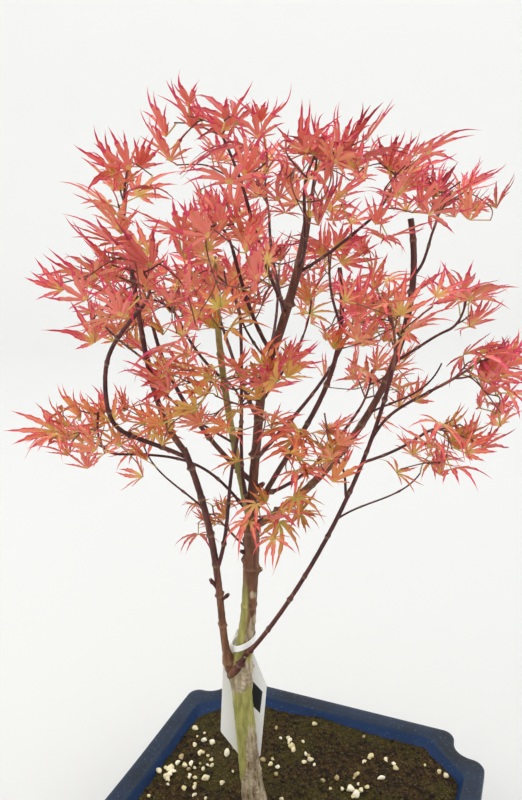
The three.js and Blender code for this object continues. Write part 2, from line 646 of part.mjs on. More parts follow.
// The seat is cut in the tree's own frame, then turned and placed as the tree is.
const seat = trunkBar(CLEAR, CUT_HEIGHT)
  .rotate([0, 0, TREE_TURN])
  .translate([...TREE_PLACE, TREE_LEVEL]);
group.add(named('soil', soil(seat), 'soil'));
tree.add(named('trunk', trunkBar(0, CUT_HEIGHT + CLEAR), 'oldBark'));
tree.add(named('plant_tag', tag(), 'label'));

const curves = new Map([['trunk', trunkCurve]]);
const bark = barkLengths(trunkCurve, (share) => trunkRadius(trunkCurve.getPointAt(share).z), TRUNK_STEPS);
let standing = trunkBar(CLEAR, CUT_HEIGHT);
for (const limb of LIMBS) {
  const curve = limbCurve(limb, curves.get(limb.on));
  curves.set(limb.name, curve);
  const bar = wholeBody(limbBar(limb, curve, 0).subtract(standing));
  tree.add(named(limb.name, bar, limb.name === 'green_stem' ? 'greenBark' : 'youngBark'));
  standing = standing.add(limbBar(limb, curve, CLEAR));
  bark.push(...barkLengths(curve, (share) => lerp(...limb.radii, share), LIMB_STEPS * 2));
}

for (const mass of MASSES) {
  const curve = curves.get(mass.on);
  const solid = growMass(mass, curve.getPointAt(1), curve.getTangentAt(1), bark);
  tree.add(named(mass.name, solid, 'leaf'));
}

export default group;
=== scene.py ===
"""A young grafted maple in a notched, glazed tray.

The tray's and the tree's sizes are in millimetres, each in its own frame, and turn into metres
as a mesh is made. The tree grows by the rule that its solids follow: the same limbs and the same
spaces for leaves, with finer twigs and more leaves inside them.
"""
import math

import bmesh
import bpy
import numpy as np
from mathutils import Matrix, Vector, noise


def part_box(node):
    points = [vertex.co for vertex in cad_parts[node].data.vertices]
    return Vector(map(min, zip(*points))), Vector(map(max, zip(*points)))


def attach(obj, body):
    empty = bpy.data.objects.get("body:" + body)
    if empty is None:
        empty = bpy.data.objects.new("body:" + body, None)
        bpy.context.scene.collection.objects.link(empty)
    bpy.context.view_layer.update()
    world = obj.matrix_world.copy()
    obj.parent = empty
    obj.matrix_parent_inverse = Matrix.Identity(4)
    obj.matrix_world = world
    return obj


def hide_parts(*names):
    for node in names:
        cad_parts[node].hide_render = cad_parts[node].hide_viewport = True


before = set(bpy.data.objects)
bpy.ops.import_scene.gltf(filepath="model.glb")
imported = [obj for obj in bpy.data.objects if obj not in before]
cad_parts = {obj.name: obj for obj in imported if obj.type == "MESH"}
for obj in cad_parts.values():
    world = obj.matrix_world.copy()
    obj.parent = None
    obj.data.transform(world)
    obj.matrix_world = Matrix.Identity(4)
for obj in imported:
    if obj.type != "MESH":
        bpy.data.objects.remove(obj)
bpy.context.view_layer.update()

MM = 0.001
UP = np.array([0.0, 0.0, 1.0])
CLEAR = 0.3

# Tray
POT_WIDTH, POT_LENGTH = 240, 304
NOTCH_ROUND, NOTCH_HOLLOW, ARC_STEPS = 9, 16, 9
RIM_BAND, INNER_CHAMFER, CHAMFER_ROUND = 14, 30, 7
DRAIN_RADIUS, DRAIN_OFFSET, DRAIN_SIDES, DRILL_LENGTH = 8, 72, 40, 30
SIDE_STEP, POT_WARP, POT_CREASE = 8, 0.35, 42
# [height, how far it stands in from the rim's outline, how worn the glaze is]
POT_OUTSIDE = [
    [0, 17, 0.5], [0.4, 16, 0.6], [1.4, 15, 0.4], [3, 14.4, 0.1], [14, 13.2, 0], [30, 11.8, 0],
    [50, 10, 0], [66, 8.5, 0], [69.5, 8, 0.1], [71.2, 6.6, 0.1], [72.1, 3.2, 0.1], [72.5, 1.2, 0.4],
    [73.6, 0.2, 0.9], [75.2, 0, 0.4], [78, 0, 0.1], [81, 0, 0.2], [83, 0.2, 0.7], [84.3, 0.9, 1],
    [84.9, 2, 0.7],
]
# [height, how far it stands in from the rim's inner edge, how worn the glaze is]
POT_INSIDE = [
    [84.9, -1.6, 0.6], [84.4, -0.5, 1], [83.2, 0.2, 0.6], [80, 1.6, 0], [76, 4.4, 0], [73, 6.6, 0.1],
    [66, 7.4, 0], [40, 9, 0], [8, 11, 0],
]
RIM_ROWS, RIM_CROWN, RIM_WEAR, LIP_LEVEL = 3, 0.25, 0.15, 83.5

# Soil
SOIL_LEVEL, SOIL_MOUND, SOIL_SPREAD, SOIL_SWELL = 78, 0.8, 70, 1.1
SOIL_STEP, SOIL_INSET, SOIL_TAPER, SOIL_BASE = 1.4, 3, 0.965, 8.4
SOIL_DROP, EDGE_DROP, EDGE_WIDTH = 0.7, 0.9, 4
STONE_COUNT, STONE_RADIUS, STONE_SPACING = 15, (3.2, 4.2), 30
STONE_AREA, STONE_SEED = (94, 126), 5
GRIT_COUNT, GRIT_RADIUS, CRUMB_COUNT, CRUMB_RADIUS = 280, (1.5, 3.5), 2600, (0.6, 1.9)
PEBBLE_SHAPES, PEBBLE_FACETS, PEBBLE_RISE = 14, 7, 0.3
# How far strewn pieces keep off the edge and the tree's middle, how many lie stray, and how far small
# pieces and the first tones outnumber the rest
EDGE_GAP, ROOT_REACH, STRAY_SHARE, SMALL_BIAS, TONE_BIAS = 2, 11, 0.05, 1.6, 1.4
# [x, y, width] of the places where the grit lies thick
GRIT_PATCHES = [
    (-82, 70, 12), (-80, 52, 10), (-62, 44, 14), (-92, 20, 18), (-24, 97, 10), (-3, 90, 9), (-28, 72, 12),
    (46, 106, 7), (35, 78, 12), (88, 112, 7), (-20, -20, 34), (44, -60, 30), (-50, -96, 28),
]
GRIT_TONES = ["#e0d4ae", "#d2c391", "#ece4c9", "#a99468"]
CRUMB_TONES = ["#241a0d", "#332613", "#43341c", "#3b3b17"]
# [x, y, width, height] of the low heaps against the tray's sides
HEAPS = [[-8, 132, 20, 3.2], [92, 84, 14, 1.6], [-96, 40, 16, 1.8], [60, -128, 22, 2.4]]

# Tree
TREE_LEVEL, CUT_HEIGHT = 69.4, 8.2
TREE_PLACE = np.array([-25.0, 38.0, TREE_LEVEL])
TREE_TURN = 21.95
LIMB_PULL = 0.36
FLARE, FLARE_HEIGHT, FLARE_LOBES = 0.13, 14, 5
# [height, x, y, radius] up the trunk
TRUNK_STATIONS = np.array([
    [-8, 1, 0, 8.4], [26, -4, 0, 7.2], [60, -7, 0, 6.9], [96, -10, -0.4, 6.6], [112, -11, -0.9, 8],
    [129, -8, 0, 5.6], [158, -5, 0, 4.9], [205, -3, 0, 5], [226, -3, 0, 3], [266, 0, 0, 2.8],
    [310, 5, 0, 2.8], [336, 14, 0, 2.6], [376, 25, 0, 2.6], [405, 30, 0, 2.1],
])

# name, what it grows on, height there, tip, [bearing, lean] leaving and arriving, radii, pulls
LIMBS = [
    ("left_stem", "trunk", 106, (-43, -13, 268), (194, 47), (192, 20), (2.5, 1.9), (0.16, 0.53)),
    ("left_rise", "left_stem", 266, (-69, -30, 390), (188, 38), (190, 8), (1.9, 1.15), (0.27, 0.42)),
    ("loop_low", "left_stem", 262, (-82, -40, 312), (178, 65), (180, 0), (1.4, 1.25), (0.6, 0.45)),
    ("loop_high", "loop_low", 310, (-56, -62, 358), (180, 0), (340, 43), (1.25, 1.05), (0.36, 0.42)),
    ("left_inner", "left_stem", 186, (-9, -18, 284), (328, 20), (350, 14), (1.3, 0.9), (0.37, 0.46)),
    ("left_spur", "trunk", 196, (-13, 4, 203), (155, 60), (155, 50), (0.8, 0.65), None),
    ("low_left", "trunk", 219, (-86, 7, 258), (153, 43), (188, 88), (1, 0.75), (0.46, 0.49)),
    ("back_left", "trunk", 242, (-68, 44, 336), (136, 69), (144, 14), (1.7, 1.15), (0.35, 0.35)),
    ("green_stem", "trunk", 210, (-24, -6, 380), (188, 11), (177, 1), (2.4, 1.7), (0.37, 0.38)),
    ("green_side", "green_stem", 308, (-46, 10, 341), (154, 57), (150, 25), (0.95, 0.75), (0.36, 0.28)),
    ("inner_stem", "trunk", 225, (-9, -17, 348), (233, 43), (180, 3), (1.15, 0.9), (0.2, 0.4)),
    ("middle_stem", "trunk", 218, (49, 7, 373), (37, 34), (171, 9), (1.8, 1.3), (0.38, 0.44)),
    ("right_stem", "trunk", 212, (90, 10, 401), (8, 66), (180, 12), (2.5, 1.8), (0.23, 0.43)),
    ("low_right", "trunk", 232, (67, 34, 280), (12, 82), (22, 38), (1.2, 0.9), (0.35, 0.39)),
    ("front_limb", "trunk", 120, (72, -51, 323), (283, 55), (355, 11), (1.5, 1.05), (0.18, 0.42)),
    ("front_low", "front_limb", 271, (89, -57, 290), (345, 68), (348, 50), (0.85, 0.7), None),
    ("front_outer", "front_limb", 283, (96, -61, 317), (356, 25), (345, 58), (0.85, 0.7), (0.37, 0.54)),
    ("front_spur", "front_limb", 249, (46, -47, 270), (231, 19), (199, 38), (0.8, 0.65), None),
    ("upper_left", "trunk", 323, (-12, -34, 384), (232, 42), (215, 17), (1.3, 0.95), None),
    ("upper_right", "trunk", 370, (64, -6, 400), (355, 61), (350, 50), (1.05, 0.8), None),
    ("top_left", "trunk", 348, (-4, -56, 408), (255, 62), (230, 22), (1.15, 0.85), None),
    ("top_front", "trunk", 374, (24, -56, 412), (280, 70), (265, 35), (1.1, 0.8), None),
    ("far_right", "right_stem", 316, (113, -1, 337), (345, 57), (349, 68), (0.95, 0.75), (0.45, 0.23)),
    ("right_high", "right_stem", 368, (106, 18, 396), (20, 50), (30, 25), (0.95, 0.75), None),
    ("middle_side", "middle_stem", 338, (45, 20, 362), (110, 40), (100, 25), (0.95, 0.75), None),
    ("rear_left", "trunk", 282, (-26, 64, 338), (115, 60), (125, 35), (1.4, 0.95), None),
    ("rear_middle", "trunk", 300, (14, 72, 346), (85, 62), (85, 40), (1.3, 0.9), None),
    ("rear_right", "trunk", 256, (60, 62, 322), (50, 60), (45, 35), (1.4, 0.95), None),
    ("rear_top", "trunk", 344, (8, 42, 402), (95, 55), (90, 20), (1.15, 0.85), None),
    ("fork_spur", "trunk", 214, (5, -12, 224), (300, 60), (300, 60), (0.9, 0.7), None),
]

# name, the limb at whose tip it grows, middle, reach, size of its leaves in the solids
MASSES = [
    ("leaves_left_top", "left_rise", (-67, -36, 415), 48, 1),
    ("leaves_left_front", "loop_high", (-58, -88, 377), 50, 1.05),
    ("leaves_centre_low", "left_inner", (-18, -40, 312), 44, 0.95),
    ("leaves_left_spur", "left_spur", (-28, 10, 214), 34, 0.62),
    ("leaves_left_low", "low_left", (-94, -8, 284), 50, 1),
    ("leaves_back_left", "back_left", (-78, 58, 362), 52, 1),
    ("leaves_centre_left", "green_side", (-60, 2, 350), 46, 0.95),
    ("leaves_centre", "inner_stem", (-24, -26, 368), 46, 0.92),
    ("leaves_middle_low", "low_right", (76, 44, 300), 46, 0.95),
    ("leaves_right_inner", "front_limb", (68, -54, 352), 46, 1),
    ("leaves_right_low", "front_low", (96, -64, 290), 40, 0.95),
    ("leaves_right_outer", "front_outer", (114, -64, 326), 44, 1),
    ("leaves_front_spur", "front_spur", (38, -54, 288), 34, 0.8),
    ("leaves_centre_front", "upper_left", (-24, -68, 390), 50, 1),
    ("leaves_top_right", "upper_right", (76, -16, 420), 48, 1),
    ("leaves_top_left", "top_left", (-16, -70, 434), 48, 1.05),
    ("leaves_top_front", "top_front", (32, -74, 430), 46, 1.05),
    ("leaves_far_right", "far_right", (122, -2, 350), 44, 1),
    ("leaves_right_high", "right_high", (112, 26, 412), 48, 1),
    ("leaves_middle", "middle_side", (44, 26, 378), 46, 0.95),
    ("leaves_rear_left", "rear_left", (-36, 90, 360), 52, 1),
    ("leaves_rear_middle", "rear_middle", (16, 102, 366), 50, 1),
    ("leaves_rear_right", "rear_right", (76, 84, 346), 52, 1),
    ("leaves_rear_top", "rear_top", (-2, 52, 424), 50, 1),
    ("leaves_fork", "fork_spur", (13, -32, 234), 38, 0.85),
    ("leaves_top", "trunk", (34, -2, 430), 46, 1),
]
# Side twigs without a solid of their own, written as the limbs are
SIDE_TWIGS = [
    ("twig_a", "right_stem", 330, (70, 22, 372), (150, 40), (160, 15), (0.75, 0.5), None),
    ("twig_c", "left_stem", 228, (-70, 8, 262), (150, 55), (165, 20), (0.7, 0.45), None),
    ("twig_d", "green_stem", 268, (-62, -10, 318), (215, 55), (190, 15), (0.8, 0.5), None),
    ("twig_e", "trunk", 292, (34, 26, 352), (40, 45), (70, 10), (0.85, 0.5), None),
    ("twig_f", "left_rise", 322, (-94, -6, 352), (160, 55), (170, 20), (0.7, 0.45), None),
    ("twig_g", "front_limb", 236, (92, -40, 262), (20, 60), (350, 30), (0.6, 0.4), None),
    ("twig_h", "right_stem", 284, (104, -26, 322), (320, 55), (350, 20), (0.7, 0.45), None),
    ("twig_i", "trunk", 318, (-16, 18, 372), (160, 45), (120, 8), (0.8, 0.5), None),
    ("twig_j", "inner_stem", 296, (10, -44, 334), (290, 50), (280, 15), (0.6, 0.4), None),
]
MIDDLES = np.array([mass[2] for mass in MASSES], float)
REACHES = np.array([mass[3] for mass in MASSES], float)

# Growth, as in the solids
NODES, FIRST_NODE, LAST_NODE = 5, 0.3, 0.96
STEM_RADIUS, SHOOT_RADIUS, FINE_RADIUS = (0.85, 0.6), (0.6, 0.42), (0.42, 0.3)
STEM_RISE, STEM_ROOT, LIMB_LENGTHS, TRUNK_LENGTHS = 0.1, 1.5, 14, 30
SHOOT_SPREAD, SHOOT_REACH, SHOOT_STRETCH, SHOOT_SAG = (45, 68), (0.42, 0.26), (0.85, 1.1), 0.05
LEAF_SPREAD, LEAF_STRAY, LEAF_TRIES, LEAVES_MOST = (35, 60), 12, 9, 9
STALK_LENGTH, STALK_STEP, STALK_RISE = (8, 13), 1.3, (0, 0.5)
LEAF_LENGTH, LEAF_TILT, LEAF_ROLL = (24, 30), (-34, 40), (-40, 40)
LEAF_LOBES = [(-104, 0.55), (-50, 0.86), (0, 1), (50, 0.86), (104, 0.55)]
LEAF_SINUS, LEAF_BASE, LEAF_DROOP = 0.26, (150, 0.08), 0.12
LIMB_MARGIN, LEAF_MARGIN = 2.4, 3
SEED = 731

# Growth that is carried further here: leaves for a mass of the usual reach, and how long the search for
# room goes on
FINE_LEAVES, USUAL_REACH, FINE_TRIES, FINE_LOOKS = 18.5, 46, 320, 6
FINE_REACH, FINE_SPACING, FINE_HEADROOM = (0.1, 0.65), 6, 12
FINE_FORM = np.array([0.92, 0.92, 0.75])
FINE_STALK, FINE_LENGTH = (7, 12), (18, 27)
FINE_MARGIN, FINE_LIMB_MARGIN = 5, 0.9
TURN_COST, TURN_MOST, BEND_SHARE = 0.9, 0.5, 0.26
FINE_STEPS, OUTER_SHARES = 12, np.linspace(0.25, 1, 10)
FULLNESS = {
    "leaves_left_low": 1.35, "leaves_centre_low": 2.5, "leaves_centre_left": 1.2, "leaves_right_low": 1.2,
    "leaves_front_spur": 1.9, "leaves_middle_low": 1.5, "leaves_left_spur": 1.6, "leaves_fork": 1.9,
    "leaves_top_left": 0.78, "leaves_top_front": 0.78, "leaves_right_high": 0.85,
    "leaves_centre_front": 0.9,
}
# How much further the finer growth of some masses reaches, and how far some is moved off its middle
STRETCH = {
    "leaves_centre_low": 1.42, "leaves_front_spur": 1.25, "leaves_middle_low": 1.15,
    "leaves_left_low": 1.08,
}
SHIFTS = {"leaves_left_low": (14, 2, 5), "leaves_right_low": (-8, 0, 3)}
CROWN_MIDDLE = np.array([8.0, 0.0, 300.0])
OUT_PULL, UP_PULL = 0.7, 0.12
SIDE_NODES = (0.5, 0.74, 1)
# Live leaves against those of the solids
LIFE_SIZE = 0.95


def unit(vectors):
    vectors = np.asarray(vectors, float)
    return vectors / np.maximum(np.linalg.norm(vectors, axis=-1, keepdims=True), 1e-9)


def mixed(low, high, share):
    return low + (high - low) * share


def heading(bearing, lean):
    """The way that a bearing and a lean from upright, in degrees, point."""
    bearing, lean = math.radians(bearing), math.radians(lean)
    out = math.sin(lean)
    return np.array([out * math.cos(bearing), out * math.sin(bearing), math.cos(lean)])


def turned(vector, axis, degrees):
    angle = math.radians(degrees)
    along = axis * axis.dot(vector) * (1 - math.cos(angle))
    return vector * math.cos(angle) + np.cross(axis, vector) * math.sin(angle) + along


def turned_from(along, turn, spread):
    """A direction that leans away from `along` by a spread, on the side that `turn` names."""
    level = UP if abs(along[2]) < 0.9 else np.array([1.0, 0, 0])
    across = turned(unit(np.cross(along, level)), along, turn)
    return along * math.cos(math.radians(spread)) + across * math.sin(math.radians(spread))


def spin(angle):
    """What turns rows of points clockwise about the upright, by an angle in radians."""
    along, across = math.cos(angle), math.sin(angle)
    return np.array([[along, -across, 0], [across, along, 0], [0, 0, 1]])


def bell(distance, width):
    return np.exp(-(distance / width) ** 2)


def smooth_step(low, high, value):
    share = np.clip((value - low) / (high - low), 0, 1)
    return share * share * (3 - 2 * share)


class Dice:
    """A repeatable run of numbers, the one that the solids grow by."""

    def __init__(self, seed):
        self.state = seed

    def roll(self):
        self.state = self.state * 16807 % 2147483647
        return self.state / 2147483647

    def between(self, low, high):
        return mixed(low, high, self.roll())


class Path:
    """A smooth line kept as close-set points and walked by shares of its length."""

    def __init__(self, points):
        self.points = np.asarray(points, float)
        self.walked = np.append(0, np.cumsum(np.linalg.norm(np.diff(self.points, axis=0), axis=1)))
        self.length = self.walked[-1]

    def at(self, share):
        walked = np.clip(share, 0, 1) * self.length
        return np.stack([np.interp(walked, self.walked, column) for column in self.points.T], axis=-1)

    def way(self, share):
        return unit(self.at(share + 0.004) - self.at(share - 0.004))

    def share_at(self, height):
        return float(np.interp(height, self.points[:, 2], self.walked)) / self.length


def bend(start, first, second, end, count=160):
    share = np.linspace(0, 1, count + 1)[:, None]
    rest = 1 - share
    return rest**3 * start + 3 * rest**2 * share * first + 3 * rest * share**2 * second + share**3 * end


def trunk_path():
    """A centripetal curve through the trunk's stations."""
    places = TRUNK_STATIONS[:, [1, 2, 0]]
    padded = np.vstack([2 * places[0] - places[1], places, 2 * places[-1] - places[-2]])
    points = [places[0]]
    for before, start, end, after in zip(padded, padded[1:], padded[2:], padded[3:]):
        runs = (start - before, end - start, after - end)
        near, gap, far = [np.linalg.norm(run) ** 0.5 for run in runs]
        leave = (start - before) / near - (end - before) / (near + gap) + (end - start) / gap
        arrive = (end - start) / gap - (after - start) / (gap + far) + (after - end) / far
        leave, arrive = leave * gap, arrive * gap
        points.extend(bend(start, start + leave / 3, end - arrive / 3, end, 24)[1:])
    return Path(points)


def trunk_radius(height):
    """The trunk's radius at each height, eased from station to station."""
    height = np.asarray(height, float)
    levels, radii = TRUNK_STATIONS[:, 0], TRUNK_STATIONS[:, 3]
    k = np.clip(np.searchsorted(levels, height, side="right") - 1, 0, len(levels) - 2)
    share = smooth_step(levels[k], levels[k + 1], height)
    return mixed(radii[k], radii[k + 1], share)


def limb_path(limb, parent):
    _, _, at, tip, leave, arrive, _, pulls = limb
    foot, tip = parent.at(parent.share_at(at)), np.array(tip, float)
    out, back = [pull * np.linalg.norm(tip - foot) for pull in pulls or (LIMB_PULL, LIMB_PULL)]
    return Path(bend(foot, foot + heading(*leave) * out, tip - heading(*arrive) * back, tip))


paths = {"trunk": trunk_path()}
for limb in LIMBS + SIDE_TWIGS:
    paths[limb[0]] = limb_path(limb, paths[limb[1]])


def in_row(points):
    """Points of the tree's own frame, in the tray's frame."""
    return np.asarray(points) @ spin(-math.radians(TREE_TURN)) + TREE_PLACE


def make_piece(name, points, faces, finishes, slots=0, smooth=True, traits=None):
    """An object from points in millimetres and lists of three- and four-cornered faces."""
    faces = [np.asarray(group, int) for group in (faces if isinstance(faces, list) else [faces])]
    mesh = bpy.data.meshes.new(name)
    mesh.vertices.add(len(points))
    mesh.vertices.foreach_set("co", (np.asarray(points, float) * MM).ravel())
    corners = np.concatenate([group.ravel() for group in faces])
    sizes = np.concatenate([np.full(len(group), group.shape[1]) for group in faces])
    mesh.loops.add(len(corners))
    mesh.loops.foreach_set("vertex_index", corners)
    mesh.polygons.add(len(sizes))
    mesh.polygons.foreach_set("loop_start", np.append(0, np.cumsum(sizes)[:-1]))
    mesh.polygons.foreach_set("material_index", np.broadcast_to(slots, len(sizes)).astype(int))
    mesh.polygons.foreach_set("use_smooth", np.full(len(sizes), smooth))
    for trait, values in (traits or {}).items():
        mesh.attributes.new(trait, "FLOAT", "POINT").data.foreach_set("value", np.asarray(values, float))
    mesh.update(calc_edges=True)
    mesh.validate()
    for finish in finishes:
        mesh.materials.append(finish)
    piece = bpy.data.objects.new(name, mesh)
    bpy.context.scene.collection.objects.link(piece)
    return piece


def joined(parts):
    """(points, faces) parts as one, where every part's faces have the same number of corners."""
    points, faces, count = [], [], 0
    for part_points, part_faces in parts:
        points.append(part_points)
        faces.append(np.asarray(part_faces) + count)
        count += len(part_points)
    return np.vstack(points), np.vstack(faces)


def ring_faces(rings, around):
    """Four-cornered faces between rings of points that each go once around."""
    k, j = np.meshgrid(np.arange(rings - 1), np.arange(around), indexing="ij")
    near, far = k * around + j, k * around + (j + 1) % around
    return np.stack([near, far, far + around, near + around], axis=-1).reshape(-1, 4)


def grid_faces(rows, columns):
    k, j = np.meshgrid(np.arange(rows - 1), np.arange(columns - 1), indexing="ij")
    low = k * columns + j
    return np.stack([low, low + 1, low + columns + 1, low + columns], axis=-1).reshape(-1, 4)


def grid_rim(rows, columns):
    """The points round the edge of a grid, in their order."""
    return np.concatenate([
        np.arange(columns), np.arange(1, rows) * columns + columns - 1,
        (rows - 1) * columns + np.arange(columns - 2, -1, -1), np.arange(rows - 2, 0, -1) * columns])


def sheet_faces(rows, columns):
    """The faces of a thin closed sheet: its front grid, its back one and the edge between them."""
    front, rim, count = grid_faces(rows, columns), grid_rim(rows, columns), rows * columns
    after = np.roll(rim, -1)
    edge = np.stack([rim, rim + count, after + count, after], axis=1)
    return np.vstack([front, front[:, ::-1] + count, edge])


class Socket:
    """A shader value that sums and products can be written with."""

    def __init__(self, finish, socket):
        self.finish, self.socket = finish, socket

    def _math(self, operation, *values):
        return self.finish.node("ShaderNodeMath", {"operation": operation}, dict(enumerate(values)))

    def __add__(self, other):
        return self._math("ADD", self, other)

    def __sub__(self, other):
        return self._math("SUBTRACT", self, other)

    def __rsub__(self, other):
        return self._math("SUBTRACT", other, self)

    def __mul__(self, other):
        return self._math("MULTIPLY", self, other)

    def over(self, low, high):
        """0 below one value, 1 above another, and eased between them."""
        settings = {"interpolation_type": "SMOOTHSTEP"}
        return self.finish.node("ShaderNodeMapRange", settings, {0: self, 1: low, 2: high})

    __radd__, __rmul__ = __add__, __mul__


def colour(code):
    """A #rrggbb colour as the shaders count it."""
    parts = [int(code[k:k + 2], 16) / 255 for k in (1, 3, 5)]
    return [part / 12.92 if part < 0.04045 else ((part + 0.055) / 1.055) ** 2.4 for part in parts] + [1]


class Finish:
    """A material while its nodes are put together."""

    def __init__(self, name, **constants):
        self.material = bpy.data.materials.new(name)
        self.material.use_nodes = True
        self.tree = self.material.node_tree
        self.shader = self.tree.nodes["Principled BSDF"]
        for socket, value in constants.items():
            self.set(socket.replace("_", " ").title().replace("Ior", "IOR"), value)

    def set(self, socket, value):
        self._feed(self.shader.inputs[socket], value)

    def _feed(self, socket, value):
        if isinstance(value, Socket):
            self.tree.links.new(value.socket, socket)
        else:
            socket.default_value = value

    def node(self, kind, settings=None, values=None, output=0):
        """A node of one type: its settings first, then the values or links of its sockets."""
        node = self.tree.nodes.new(kind)
        for setting, value in (settings or {}).items():
            setattr(node, setting, value)
        for socket, value in (values or {}).items():
            self._feed(node.inputs[socket], value)
        return Socket(self, node.outputs[output])

    def place(self):
        return self.node("ShaderNodeTexCoord", output="Object")

    def noise(self, size, detail=2, roughness=0.5, stretch=(1, 1, 1)):
        """A soft noise of about 0 to 1 whose lumps are `size` millimetres across."""
        where = self.node("ShaderNodeMapping", {}, {0: self.place(), 3: stretch})
        values = {"Vector": where, "Scale": 1 / (size * MM), "Detail": detail, "Roughness": roughness}
        return self.node("ShaderNodeTexNoise", {}, values)

    def trait(self, name):
        return self.node("ShaderNodeAttribute", {"attribute_name": name}, output="Fac")

    def blend(self, share, low, high):
        """One colour turning into another."""
        low, high = [colour(tone) if isinstance(tone, str) else tone for tone in (low, high)]
        return self.node("ShaderNodeMix", {"data_type": "RGBA"}, {0: share, 6: low, 7: high}, output=2)

    def bumps(self, height, strength, depth):
        """Relief in the shading, `depth` millimetres deep."""
        values = {"Height": height, "Strength": strength, "Distance": depth * MM}
        self.set("Normal", self.node("ShaderNodeBump", {}, values))


def glaze_finish():
    glaze = Finish("blue_glaze", coat_weight=0.04, coat_roughness=0.2, specular_ior_level=0.19)
    worn, inside = glaze.trait("worn"), glaze.trait("inside")
    broad, fine, dust = glaze.noise(34, 3), glaze.noise(5, 4, 0.6), glaze.noise(1.1, 1)
    base = glaze.blend(broad.over(0.35, 0.68), "#0c1520", "#14243b")
    base = glaze.blend(fine.over(0.5, 0.75) * 0.5, base, "#0b1420")
    # The inner wall below the lip is painted a lighter blue: a painted highlight where it catches the
    # light
    base = glaze.blend(inside * 0.4, base, "#1a4076")
    rubbed = (worn * 0.9 + fine * 0.5 - 0.2).over(0.35, 1.0)
    base = glaze.blend(rubbed * 0.5, base, "#33414f")
    specks = dust.over(0.7, 0.75)
    base = glaze.blend(specks * 0.5, base, "#8496a6")
    glaze.set("Base Color", base)
    glaze.set("Roughness", 0.34 + rubbed * 0.2 + specks * 0.2)
    glaze.bumps(fine * 0.7 + specks * 0.5, 0.3, 0.5)
    return glaze.material


def soil_finish():
    soil = Finish("moist_soil", specular_ior_level=0.15)
    broad, crumbs, grains = soil.noise(30, 3), soil.noise(4, 4, 0.65), soil.noise(1.2, 2)
    base = soil.blend(crumbs.over(0.32, 0.7), "#110b05", "#47351a")
    base = soil.blend((broad + crumbs * 0.5).over(0.68, 0.9) * 0.55, base, "#3d3a12")
    base = soil.blend((1 - grains.over(0.34, 0.48)) * 0.6, base, "#0d0804")
    base = soil.blend(grains.over(0.6, 0.7) * 0.55, base, "#7e6a45")
    soil.set("Base Color", base)
    soil.set("Roughness", 0.72 + crumbs * 0.25)
    soil.bumps(crumbs + grains * 0.5, 0.8, 1.2)
    return soil.material


def bark_finish():
    """Bark of every age: the traits say where it is old, green, scarred or ringed."""
    bark = Finish("maple_bark", specular_ior_level=0.4)
    old, green, worn, ring = [bark.trait(trait) for trait in ("old", "green", "worn", "ring")]
    streaks = bark.noise(3.2, 4, 0.6, (1, 1, 0.22))
    mottle = bark.noise(9, 3, 0.55, (1, 1, 0.5))
    dots = bark.noise(0.9, 1)
    young = bark.blend(streaks.over(0.35, 0.7), "#39161a", "#612a29")
    brown = bark.blend(streaks.over(0.3, 0.7), "#5f3a28", "#8a5f43")
    base = bark.blend(old, young, brown)
    olive = bark.blend(streaks.over(0.3, 0.7), "#837f42", "#afa962")
    base = bark.blend((green + mottle * 0.5 - 0.25).over(0.25, 0.75), base, olive)
    ashen = bark.blend(streaks.over(0.35, 0.65), "#837158", "#c0b194")
    base = bark.blend((worn + mottle * 0.9 + streaks * 0.7 - 0.8).over(0.3, 0.55), base, ashen)
    base = bark.blend(ring * 0.45, base, "#a08668")
    base = bark.blend(dots.over(0.7, 0.76) * 0.45, base, "#b09a7a")
    bark.set("Base Color", base)
    bark.set("Roughness", 0.5 + old * 0.15 + worn * 0.2)
    bark.bumps(streaks + dots.over(0.7, 0.76) * 0.3, 0.5, 0.5)
    return bark.material


def plain_finish(name, code, roughness, **constants):
    return Finish(name, base_color=colour(code), roughness=roughness, **constants).material


bark = bark_finish()

# Tints of a spray's leaves: [heart, blade, margin and tips]
TINTS = {
    "rose": ["#e0b068", "#e47c6c", "#d44362"],
    "coral": ["#deba6c", "#e58f6e", "#dc5a5c"],
    "flame": ["#cdaf56", "#dc8a54", "#d05848"],
    "wine": ["#bf9156", "#ca6056", "#a63348"],
    "amber": ["#c5b257", "#d6a055", "#c97042"],
}
leaf_finishes = [plain_finish(f"leaf_{tint}_{zone}", code, 0.48, specular_ior_level=0.35)
                 for tint, codes in TINTS.items()
                 for zone, code in zip(("heart", "blade", "margin"), codes)]


# Bark

FIRST_BUDS, BUD_GAP, BUDLESS_TIP = (12, 22), (19, 31), 7


def angle_apart(angle, other):
    return np.abs((angle - other + math.pi) % (2 * math.pi) - math.pi)


def ripples(along, angle, seed):
    """A gentle unevenness of about -1 to 1 that closes on itself round a limb."""
    chance = np.random.default_rng(seed)
    total = 0
    for waves in (1, 2, 3, 5):
        pitch = chance.uniform(3, 14)
        total = total + np.sin(along * 2 * math.pi / pitch + waves * angle + chance.uniform(0, 6)) / 4
    return total


def bud_rings(length, seed):
    """[distance, angle] of the paired buds up a limb, each pair turned from the last."""
    chance = np.random.default_rng(seed)
    distance, angle, rings = chance.uniform(*FIRST_BUDS), chance.uniform(0, 3), []
    while distance < length - BUDLESS_TIP:
        rings.append((distance, angle))
        distance += chance.uniform(*BUD_GAP)
        angle += math.pi / 2 + chance.uniform(-0.3, 0.3)
    return rings


def ring_relief(walked, angle, radius, rings):
    """How far buds and their rings stand out of the bark, and where the pale ring line runs."""
    relief, line = 0, 0
    for distance, turn in rings:
        up = walked - distance
        buds = bell(angle_apart(angle, turn), 0.5) + bell(angle_apart(angle, turn + math.pi), 0.5)
        relief = relief + radius * (0.15 * bell(up, 1.5) + 0.6 * bell(up - 0.9, 1.3) * buds)
        relief = relief - radius * 0.07 * bell(up + 1.1, 0.6)
        line = line + bell(up, 0.75)
    return relief, np.clip(line, 0, 1)


